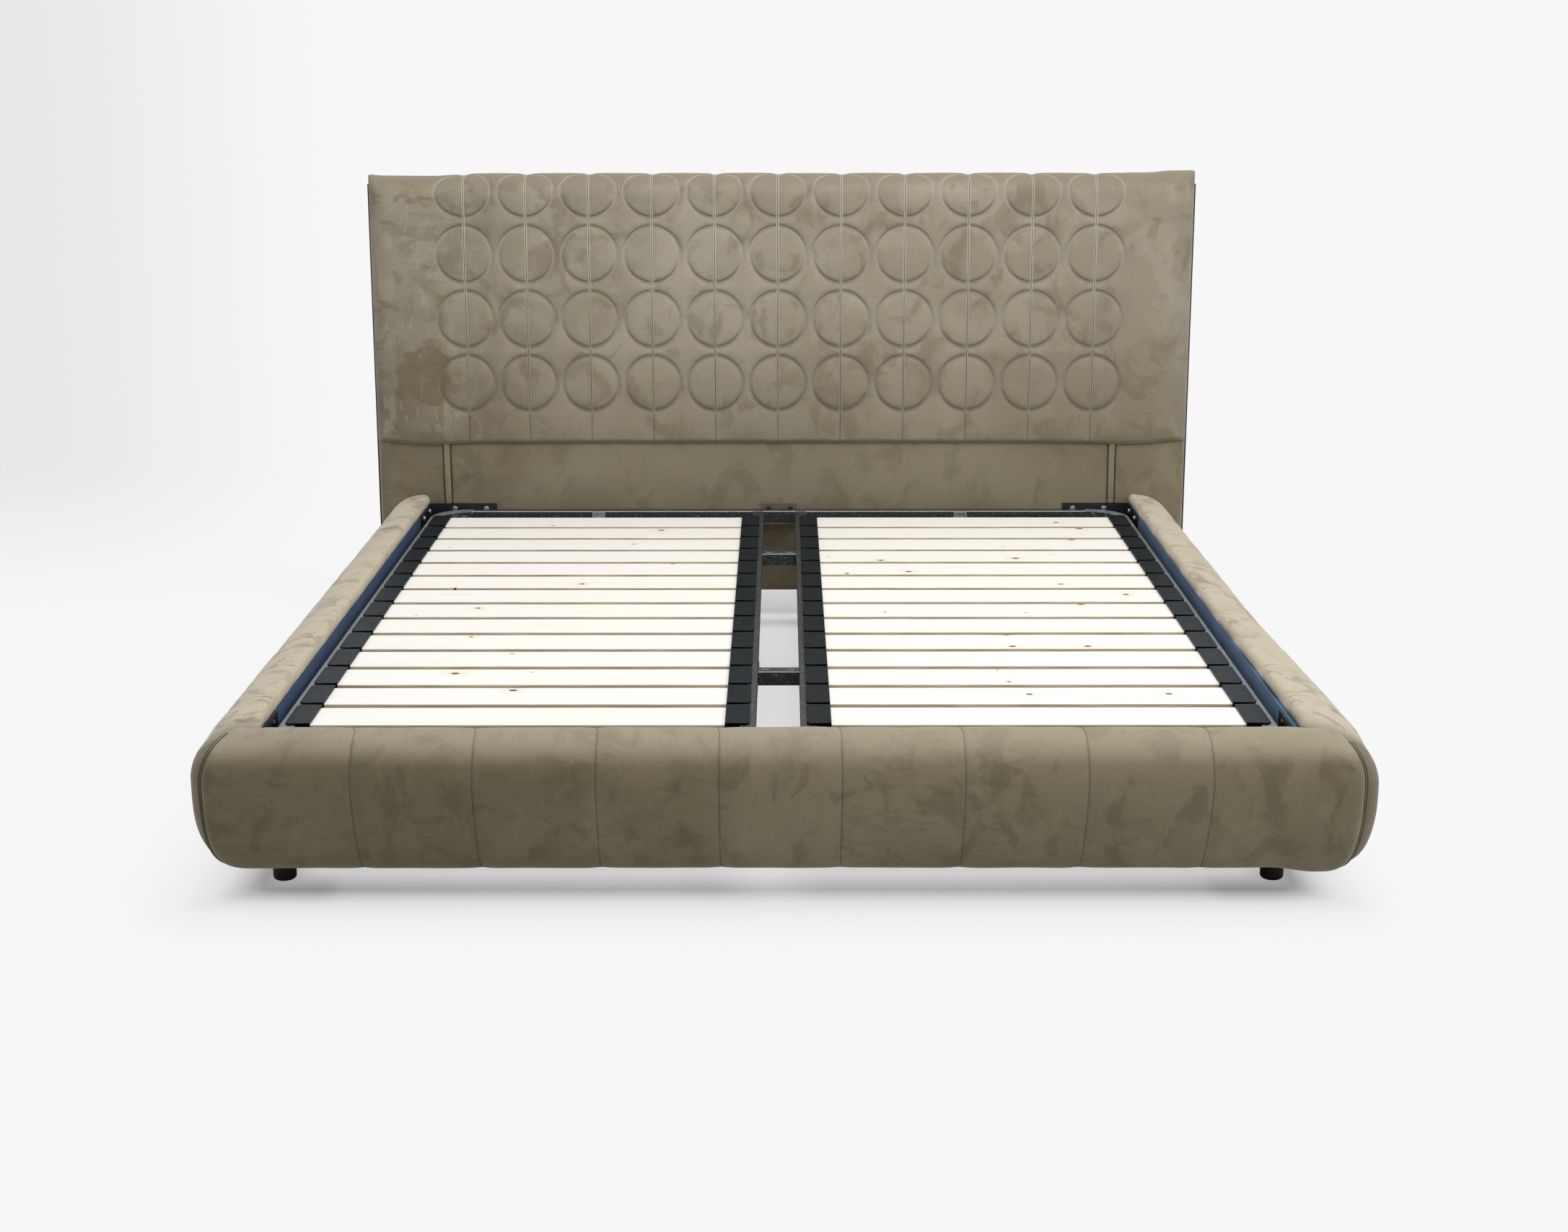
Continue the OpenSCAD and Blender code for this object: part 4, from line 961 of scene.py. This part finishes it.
def lopsided(x):
    """The cover reaches a little further out at its right side than at its left."""
    return 6 * smoothstep((np.abs(x) - 880) / 160)


def wander(x):
    """The quilting was sewn a few millimetres off its even pitch."""
    return 3.5 * hump(x + 797, 60) - 4 * hump(x, 520)


def seam_wave(x):
    """The cushion's lower seam isn't quite level."""
    a = np.abs(x)
    return -5 * hump(a - 894, 90) + 6 * smoothstep((a - 930) / 107)


def nearest_column(x):
    return np.clip(np.round(x / CELL_X), -(COLS // 2), COLS // 2) * CELL_X


def cushion_base(x, s):
    """A point of the cushion before its quilting, with its rounded sides and its uneven top line."""
    y, z = cushion_line(s)
    e = np.clip((np.abs(x) - (COVER_HALF - 40)) / 40, 0, 1)
    plan = 61 - 85 * np.sqrt(1 - e ** 2)
    x = x + lopsided(x) + wander(x) * (s < BACK_S)
    y = np.where(s > BACK_S - 12, y, np.log(np.exp((y - 61) / 7) + np.exp((plan - 61) / 7)) * 7 + 61)
    y = np.minimum(y, CORE_BACK)
    z = z + seam_wave(x) * np.clip((560 - s) / 140, 0, 1) * (s < BACK_S)
    corner = np.where(x > 0, 5.0 * smoothstep((x - 925) / 70), -7.0 * smoothstep((-x - 760) / 130))
    corner = corner + 3.0 * smoothstep((-x - 1000) / 40) - 2.6 - 2.4 * hump(x - nearest_column(x), 12.0)
    z = z + corner * smoothstep((s - 960) / 80) * (s < BACK_S + 60)
    return np.stack(np.broadcast_arrays(x, y, z), axis=-1)


def quilt_height(x, s):
    """How far the quilted cover stands out at a point, in millimetres."""
    dx = x - nearest_column(x)
    row = np.clip(np.round((ROW_TOP - s) / CELL_S), 0, ROWS - 1)
    r = np.hypot(dx, s - (ROW_TOP - row * CELL_S))
    disc = np.where(r < RING_R, 1 - (r / RING_R) ** 2, 0)
    edge = np.maximum(np.abs(r - RING_R) - CHANNEL, 0)
    h = -4.0 + np.where(
        r < RING_R, 3.6 * (1 - np.exp(-edge / 2.4)) + 2.4 * (1 - np.exp(-edge / 14.0)) + 1.0 * disc,
        3.0 * (1 - np.exp(-edge / 2.6)) + 2.8 * (1 - np.exp(-edge / 14.0)))
    h = h - 1.6 * hump(dx, 7.0) * np.clip(edge / 6, 0, 1)
    return h * smoothstep((s - SEAM_S) / 60) * (1 - smoothstep((s - CROWN_S) / 24))


def cushion_normals(x, s):
    return unit(np.cross(cushion_base(x + 0.5, s) - cushion_base(x - 0.5, s),
                         cushion_base(x, s + 0.5) - cushion_base(x, s - 0.5)), 1e-9)


PUFF_X = np.linspace(-COVER_HALF, COVER_HALF, 175)
PUFF_S = np.linspace(SEAM_S, CROWN_S, 62)


def puff_of_cushion():
    x, s = np.meshgrid(PUFF_X, PUFF_S, indexing="ij")
    hold = np.zeros(x.shape, dtype=bool)
    hold[:2] = hold[-2:] = True
    hold[:, :1] = hold[:, -1:] = True
    for cx in COL_X:
        hold[np.argmin(np.abs(PUFF_X - cx))] = True
        for cs in ROW_S:
            hold |= np.abs(np.hypot(x - cx, s - cs) - RING_R) < 6.0
    return inflate(placed(on_headboard(cushion_base(x, s))), hold, 2.0, 5.0)


CUSHION_PUFF = puff_of_cushion()


def cushion_point(x, s, lift=0.0):
    """A point of the finished quilted cover, in millimetres about the well."""
    base = cushion_base(x, s)
    h = quilt_height(x, s) + fields(CUSHION_PUFF, PUFF_X, PUFF_S, x, s) * (s < CROWN_S) * (s > SEAM_S)
    m = base * MM
    h = h + (1.1 * ripple(m, 6.0, 9) + 0.5 * ripple(m, 17.0, 10)) * smoothstep((s - SEAM_S) / 40) * (
        1 - smoothstep((s - CROWN_S) / 30))
    h = h * smoothstep((COVER_HALF - np.abs(x)) / 12)
    return on_headboard(base + cushion_normals(x, s) * (h + lift)[..., None])


def build_quilted_cushion():
    """The quilted cover: an even grid outside the cells, and rings round every circle inside them."""
    per = 20
    cell_x = np.linspace(-COLS / 2 * CELL_X, COLS / 2 * CELL_X, COLS * per + 1)
    s_top = ROW_TOP + CELL_S / 2
    cell_s = np.linspace(s_top - ROWS * CELL_S, s_top, ROWS * per + 1)
    out = 40 * (1 - np.cos(np.linspace(0, math.pi / 2, 11)))[:-1]
    right = np.concatenate([np.linspace(cell_x[-1], COVER_HALF - 40, 14)[1:], COVER_HALF - out[::-1]])
    xs = np.concatenate([-right[::-1], cell_x, right])
    low = np.concatenate([np.linspace(SEAM_S - 58, SEAM_S, 5)[:-1], np.linspace(SEAM_S, 412, 9)[:-1],
                          np.linspace(412, cell_s[0], 8)[:-1]])
    high = np.concatenate([np.linspace(s_top, BACK_S, 6)[1:], np.linspace(BACK_S, LOOP_S, 12)[1:-1]])
    ss = np.concatenate([low, cell_s, high])
    x0, s0 = len(right), len(low)
    last_i, last_j = len(xs) - 1, len(ss) - 1
    ids = -np.ones((len(xs), len(ss)), dtype=int)
    pts, faces = [], []

    def corner(i, j):
        if ids[i, j] < 0:
            ids[i, j] = len(pts)
            pts.append((xs[i], ss[j]))
        return ids[i, j]

    def ring(cx, cs, rays, radii):
        """New points round a circle's centre; returns their numbers."""
        pts.extend((cx + q * a, cs + q * b) for q, (a, b) in zip(radii, rays))
        return list(range(len(pts) - len(rays), len(pts)))
    for i in range(last_i):
        for j in range(last_j):
            if not (x0 <= i < x0 + COLS * per and s0 <= j < s0 + ROWS * per):
                faces.append((corner(i, j), corner(i + 1, j), corner(i + 1, j + 1), corner(i, j + 1)))
    for i in range(last_i):
        faces.append((corner(i, last_j), corner(i + 1, last_j), corner(i + 1, 0), corner(i, 0)))
    radii = [10, 22, 35, 46, 54, 60, 64, 66.4, 68, 69, 70.5, 72, 73, 74.6, 76.6, 78.6]
    for c in range(COLS):
        for r in range(ROWS):
            i0, j0 = x0 + c * per, s0 + r * per
            rim = ([(i0 + k, j0) for k in range(per)] + [(i0 + per, j0 + k) for k in range(per)]
                   + [(i0 + per - k, j0 + per) for k in range(per)]
                   + [(i0, j0 + per - k) for k in range(per)])
            cx, cs = xs[i0 + per // 2], ss[j0 + per // 2]
            rays = np.array([(xs[i], ss[j]) for i, j in rim]) - [cx, cs]
            reach = np.linalg.norm(rays, axis=1)
            rays /= reach[:, None]
            rim_ids = [corner(i, j) for i, j in rim]
            centre = len(pts)
            pts.append((cx, cs))
            rows = [ring(cx, cs, rays, [q] * len(rim)) for q in radii]
            rows += [ring(cx, cs, rays, (radii[-1] + reach) / 2), rim_ids]
            for k in range(len(rim)):
                m = (k + 1) % len(rim)
                faces.append((centre, rows[0][k], rows[0][m]))
                faces += [(a[k], b[k], b[m], a[m]) for a, b in zip(rows[:-1], rows[1:])]
    for i in (0, last_i):
        faces.append(tuple(corner(i, j) for j in range(len(ss))))
    q = np.array(pts)
    return new_object("quilted_cushion", placed(cushion_point(q[:, 0], q[:, 1])), faces, leather_head, 60.0)


def panel_front(x, z):
    """The plain panel's face, drawn back at its sides and eased at its double seams."""
    e = np.clip((np.abs(x) - (COVER_HALF - 24)) / 24, 0, 1)
    gap = np.abs(np.abs(x) - SEAM_X)
    y = 60 - 60 * np.sqrt(1 - e ** 2)
    y = y + (4.0 * hump(gap - 9, 2.2) - 1.6 * hump(gap, 6.0, 4)) * (e < 0.01)
    return y + 5 * (1 - smoothstep(z / 10)) + 3.0 * smoothstep((z - PANEL_H + 9) / 9)


def build_plain_panel():
    out = 24 * (1 - np.cos(np.linspace(0, math.pi / 2, 9)))[:-1]
    right = np.append(COVER_HALF - out[::-1][:-1], COVER_HALF)
    near = np.array([3, 5.5, 7.5, 9, 10.5, 12, 14, 18, 25])
    seams = SEAM_X + np.concatenate([-near[::-1], [0], near])
    flank = np.linspace(894, COVER_HALF - 24, 11)[:-1]
    xs = np.concatenate([-right[::-1], -flank[::-1], -seams[::-1], np.linspace(-820, 820, 83), seams, flank,
                         right])
    zs = np.concatenate([[0, 3, 7, 12], np.linspace(20, PANEL_H - 16, 34), PANEL_H - np.array([10, 5, 1])])
    z, x = np.meshgrid(zs, xs, indexing="ij")
    y = panel_front(x, z)
    m = np.stack([x, y, z], axis=-1) * MM
    y = y + (0.9 * ripple(m, 6.0, 21) + 0.5 * ripple(m, 15.0, 22)) * (np.abs(x) < 1000)
    z = z + seam_wave(x) * smoothstep((z - 250) / 138)
    skin = np.stack([x + lopsided(x), y, z], axis=-1)
    back = CORE_BACK - 0.3
    loop = [[COVER_HALF, back], [CORE_HALF, back], [CORE_HALF, CORE_FRONT],
            [-CORE_HALF, CORE_FRONT], [-CORE_HALF, back], [-COVER_HALF, back]]
    inside = np.array([[[a, b, h] for a, b in loop] for h in zs])
    return loft("plain_panel", placed(on_headboard(np.concatenate([skin, inside], axis=1))), leather_panel)


def build_back():
    """The padded back cover, a little crowned, as wide as the front covers reach."""
    half, behind, top, r = COVER_HALF + 2, 90.0, 1058.0, 12.0
    plan = [(half, CORE_BACK)]
    plan += [(half - r + r * math.cos(a), behind - r + r * math.sin(a))
             for a in np.linspace(0.1, math.pi / 2, 7)]
    plan += [(x, behind + 3 * (1 - (x / 1030) ** 2)) for x in np.linspace(1000, 0, 21)]
    across, depth = np.array(plan + [(-x, y) for x, y in plan[-2::-1]]).T
    # Each ring's height, and how far in it lies
    levels = [(0, 3.0), (3, 0.0)] + [(h, 0.0) for h in np.linspace(30, top - r, 36)]
    levels += [(top - r + r * math.sin(a), r * (1 - math.cos(a))) for a in np.linspace(0.3, 1.5, 5)]
    rings = []
    for z, inset in levels:
        x = across - np.sign(across) * inset * (np.abs(across) > 1000)
        y = np.where(depth > CORE_BACK, np.maximum(depth - inset, CORE_BACK + 1), CORE_BACK)
        m = np.stack([x, y, np.full_like(x, z)], axis=-1)
        y = y + 1.2 * ripple(m * MM, 4.0, 31) * (depth > 85) * (inset < 0.1)
        rings.append(np.stack([x + lopsided(x), y, np.full_like(x, z)], axis=-1))
    return loft("headboard_back_cover", placed(on_headboard(np.array(rings))), leather_back)


def upright_line(x, y, z):
    """A line up the headboard, in metres in the row frame."""
    return placed(on_headboard(np.stack(np.broadcast_arrays(x + lopsided(x), y, z), axis=-1)))


def double_seam(side):
    """Places up one of the plain panel's double seams, from the base's bracket to the cushion."""
    z = np.linspace(SEAM_BOTTOM, PANEL_H - 1, 40)
    return side * SEAM_X + 0.6 * np.sin(z / 31.0), z


def build_double_seam(name, side):
    """A flat band between two stitched furrows."""
    profile = [(-8.2, 2.0), (-7.6, -0.6), (-6.4, -1.6), (-2.5, -1.9)]
    profile += [(-dx, y) for dx, y in profile[::-1]]
    x, z = double_seam(side)
    rings = np.stack([upright_line(x + dx, y, z) for dx, y in profile], axis=1)
    return loft("double_seam_band_" + name, rings, leather_band_low)


def seam_normals(cx, s):
    """The cushion's normals up a column, turned to the bed's frame."""
    n = on_headboard(cushion_normals(np.full_like(s, cx), s))
    return n - on_headboard(np.zeros((len(s), 3)))


def build_bands():
    """The twin-stitched seams up the columns: two low ridges with a crease between them."""
    half = [(-4.0, -1.6), (-3.6, 0.6), (-2.8, 1.3), (-1.4, 1.2), (-0.7, 0.6)]
    profile = half + [(0, -0.4)] + [(-dx, h) for dx, h in half[::-1]]
    s = np.linspace(BAND_S, CROWN_S + 10, 250)
    verts, faces = [], []
    for c, cx in enumerate(COL_X):
        height = quilt_height(np.full_like(s, cx), s)
        lift = np.convolve(np.pad(height, 3, mode="edge"), np.ones(7) / 7, "valid") - height
        middle = cushion_point(cx + 0.5 * np.sin(s / 47.0 + c * 1.9), s)
        rings = np.stack([middle + seam_normals(cx, s) * (np.clip(lift, -0.5, 1.6) + h)[:, None] + [dx, 0, 0]
                          for dx, h in profile], axis=1)
        faces += closed_faces(len(s), len(profile), c * len(s) * len(profile))
        verts.append(placed(rings).reshape(-1, 3))
    return new_object("quilting_seams", np.concatenate(verts), faces, leather_band, 70.0)


def quilting_paths():
    """Stitch lines on both sides of every circle's channel, and the twin lines up every column."""
    paths = []
    a = np.linspace(0, math.tau, 97)
    s = np.linspace(BAND_S + 1, CROWN_S + 8, 140)
    for cx in COL_X:
        for cs in ROW_S:
            for r in (RING_R - CHANNEL - 0.5, RING_R + CHANNEL + 0.5):
                paths.append(placed(cushion_point(cx + r * np.cos(a), cs + r * np.sin(a), 0.6)))
        line = cushion_point(np.full_like(s, cx), s) + seam_normals(cx, s) * 1.7
        paths += [placed(line + [dx, 0, 0]) for dx in (-2.1, 2.1)]
    return paths


def crease_shade_paths():
    """The dark line along the middle of every column's seam: painted shade in its crease, drawn as dark
    beads.
    """
    s = np.linspace(SEAM_S + 8, CROWN_S + 8, 140)
    return [placed(cushion_point(np.full_like(s, cx), s) + seam_normals(cx, s) * 0.5) for cx in COL_X]


quilted = build_quilted_cushion()
ride(quilted, "quilted_cover", "headboard_quilted_cushion")

plain_panel = build_plain_panel()
ride(plain_panel, "cover", "headboard_plain_panel")

ride(build_back(), "back_cover", "headboard_back")
for name, side in SIDES:
    edge = upright_line(side * (COVER_HALF + 4.0), CORE_BACK - 2.0, np.linspace(4, HEAD_TOP - 30, 60))
    ride(tube("headboard_piping_" + name, edge, 0.0026, piping_mat), "piping", "side_piping_" + name)

for name, side in SIDES:
    ride(build_double_seam(name, side), "cover", "double_seam_" + name)
# Dark thread in the furrows: stitches, with painted shade in the furrows
furrows = [(double_seam(side), dx) for _, side in SIDES[::-1] for dx in (-8.6, 8.6)]
ride(sew("double_seam_lines", [upright_line(x + dx, -0.4, z) for (x, z), dx in furrows],
         3.0, 3.6, 1.8, thread_and_seam_shade), "cover")

ride(build_bands(), "quilted_cover")
ride(sew("quilting_stitches", quilting_paths(), 4.2, 3.6, 1.5, thread_pale), "quilted_cover")
# Painted shade: a dark line in every column seam's crease
ride(sew("quilting_crease_shade", crease_shade_paths(), 5.0, 5.6, 1.0, thread_and_seam_shade), "quilted_cover")

# Rail stitches, and the welts beside the front rail's ends with painted shade in the seams on both sides

ride(sew("front_rail_stitches", placed(front_stitches), 4.2, 2.6, 1.1, thread_and_seam_shade), "cover")
ride(sew("side_rail_stitches", placed(side_stitches), 4.2, 3.0, 1.3, thread_and_seam_shade), "cover")


def welt_path(side, out):
    """A line beside the front rail's end, seen from the front."""
    uz = rail_path(5.0)[0]
    top = 312 if side > 0 else 322
    uz = uz[((uz[:, 0] >= CROWN) & (uz[:, 1] < top)) | (uz[:, 1] < BULGE_Z)]
    return placed(front_point(np.full(len(uz), side * FRONT_HALF), uz) + [side * out, -1.5, 0])


for name, side in SIDES:
    ride(tube("front_corner_welt_" + name, welt_path(side, 2.3), 0.0018, leather_front), "piping")
    # Painted shade: dark lines in the seams on both sides of the welt
    for k, (out, r) in enumerate(((0.3, 0.0010), (4.4, 0.0015))):
        ride(tube("front_corner_line_%s_%d" % (name, k), welt_path(side, out), r, thread_and_seam_shade), "piping")

# Floor, light and camera

BACKDROP, BACKDROP_LEFT = srgb(247, 247, 248), srgb(232, 232, 234)


def backdrop_tone(w, leftward, depth):
    """The backdrop's tone, with painted shade: a little darker in a wide strip at the left."""
    share = w.times(w.ramp(leftward, -0.16, -0.34), w.ramp(leftward, -0.6, -0.42), depth)
    return w.blend(share, BACKDROP, BACKDROP_LEFT)


def make_floor_material():
    """A bright studio floor. Only the camera sees the glow, which is weak where the bed's shadow lies. Its
    dips in a band along the bed's edges and behind the headboard are painted shadow over the real one.
    """
    m = bpy.data.materials.new("studio_floor")
    m.use_nodes = True
    m.node_tree.nodes.clear()
    w = Wiring(m.node_tree)
    x, y, _ = w.axes(w.place())
    seen = w.add("ShaderNodeLightPath").outputs["Is Camera Ray"]
    beside = w.minus(w.maths("ABSOLUTE", x), 0.93)
    before = w.minus(w.maths("ABSOLUTE", w.minus(y, SHIFT_Y * MM)), 0.965)
    away = w.maths("SMOOTH_MAX", beside, before, 0.06)
    shares = w.add("ShaderNodeValToRGB", {"Fac": w.ramp(away, -0.12, 0.88, kind="LINEAR")})
    stops = shares.color_ramp.elements
    # Painted shadow: the glow's share dips in a band along the bed's edges
    for at, level in ((0.04, 0.56), (0.12, 0.19), (0.185, 0.68), (0.24, 0.84), (0.36, 0.92)):
        stops.new(at).color = (level, level, level, 1.0)
    stops[0].color = (0.56, 0.56, 0.56, 1.0)
    stops[-1].color = (1.0, 1.0, 1.0, 1.0)
    far = w.add("ShaderNodeSeparateColor", {0: shares.outputs["Color"]}).outputs[0]
    # Painted shadow: less glow on the floor behind the headboard
    behind = w.times(w.ramp(y, 1.44, 1.28), w.ramp(y, 1.0, 1.1), w.ramp(w.maths("ABSOLUTE", x), 1.02, 0.7))
    far = w.times(far, w.minus(1.0, w.times(behind, 0.6)))
    tone = backdrop_tone(w, w.over(x, w.plus(y, 4.9)), w.ramp(y, 0.5, 3.5))
    shade = w.blend(seen, srgb(226, 226, 228), srgb(252, 251, 252))
    diffuse = w.add("ShaderNodeBsdfDiffuse", {"Color": shade}).outputs[0]
    glow = w.add("ShaderNodeEmission", {"Color": tone, "Strength": 1.0}).outputs[0]
    mix = w.add("ShaderNodeMixShader", {0: w.times(far, seen), 1: diffuse, 2: glow}).outputs[0]
    w.add("ShaderNodeOutputMaterial", {"Surface": mix})
    return m


def make_world():
    """Even light from all round, and a backdrop of its own for the camera and for reflections."""
    world = bpy.data.worlds.new("studio")
    bpy.context.scene.world = world
    world.use_nodes = True
    world.node_tree.nodes.clear()
    w = Wiring(world.node_tree)
    path = w.add("ShaderNodeLightPath").outputs
    shown = w.maths("MAXIMUM", path["Is Camera Ray"],
                    w.maths("MAXIMUM", path["Is Glossy Ray"], path["Is Transmission Ray"]))
    ambient = w.add("ShaderNodeBackground", {"Color": srgb(246, 247, 250), "Strength": 0.66}).outputs[0]
    x, y, _ = w.axes(w.add("ShaderNodeTexCoord").outputs["Generated"])
    tone = backdrop_tone(w, w.over(x, w.maths("MAXIMUM", y, 0.2)), w.ramp(y, 0.3, 0.6))
    backdrop = w.add("ShaderNodeBackground", {"Color": tone, "Strength": 1.0}).outputs[0]
    mix = w.add("ShaderNodeMixShader", {0: shown, 1: ambient, 2: backdrop}).outputs[0]
    w.add("ShaderNodeOutputWorld", {"Surface": mix})


def softbox(name, place, aim, size, power, tint):
    data = bpy.data.lights.new(name, "AREA")
    data.shape = "RECTANGLE"
    data.size, data.size_y = size
    data.energy = power
    data.color = tint
    o = in_scene(name, data)
    o.location = place
    o.rotation_euler = (Vector(aim) - Vector(place)).to_track_quat("-Z", "Y").to_euler()


ground = bpy.data.meshes.new("floor")
ground.from_pydata([(-400, -12, 0), (400, -12, 0), (400, 600, 0), (-400, 600, 0)], [], [(0, 1, 2, 3)])
ground.materials.append(make_floor_material())
in_scene("floor", ground)
make_world()
softbox("overhead", (0.35, -0.25, 4.0), (0.2, 0.0, 0.0), (1.4, 3.0), 66.0, (1.0, 0.99, 0.97))
softbox("right_fill", (3.6, -3.0, 3.4), (0.3, 0.9, 0.8), (1.8, 1.8), 58.0, (0.97, 0.99, 1.0))

# The camera, as fitted to the photograph: its focal length in pixels and the photograph's width
FOCAL, WIDTH = 3194.2, 2173
lens = bpy.data.cameras.new("camera")
lens.sensor_width = 36.0
lens.lens = FOCAL / WIDTH * lens.sensor_width
lens.clip_end = 200.0
camera = in_scene("camera", lens)
camera.location = (0.00816, -4.8365 + SHIFT_Y * MM, 1.4842)
camera.rotation_euler = (math.pi / 2 - 0.2479, 0.0005, -0.0007)
bpy.context.scene.camera = camera
bpy.context.scene.view_settings.view_transform = "Standard"
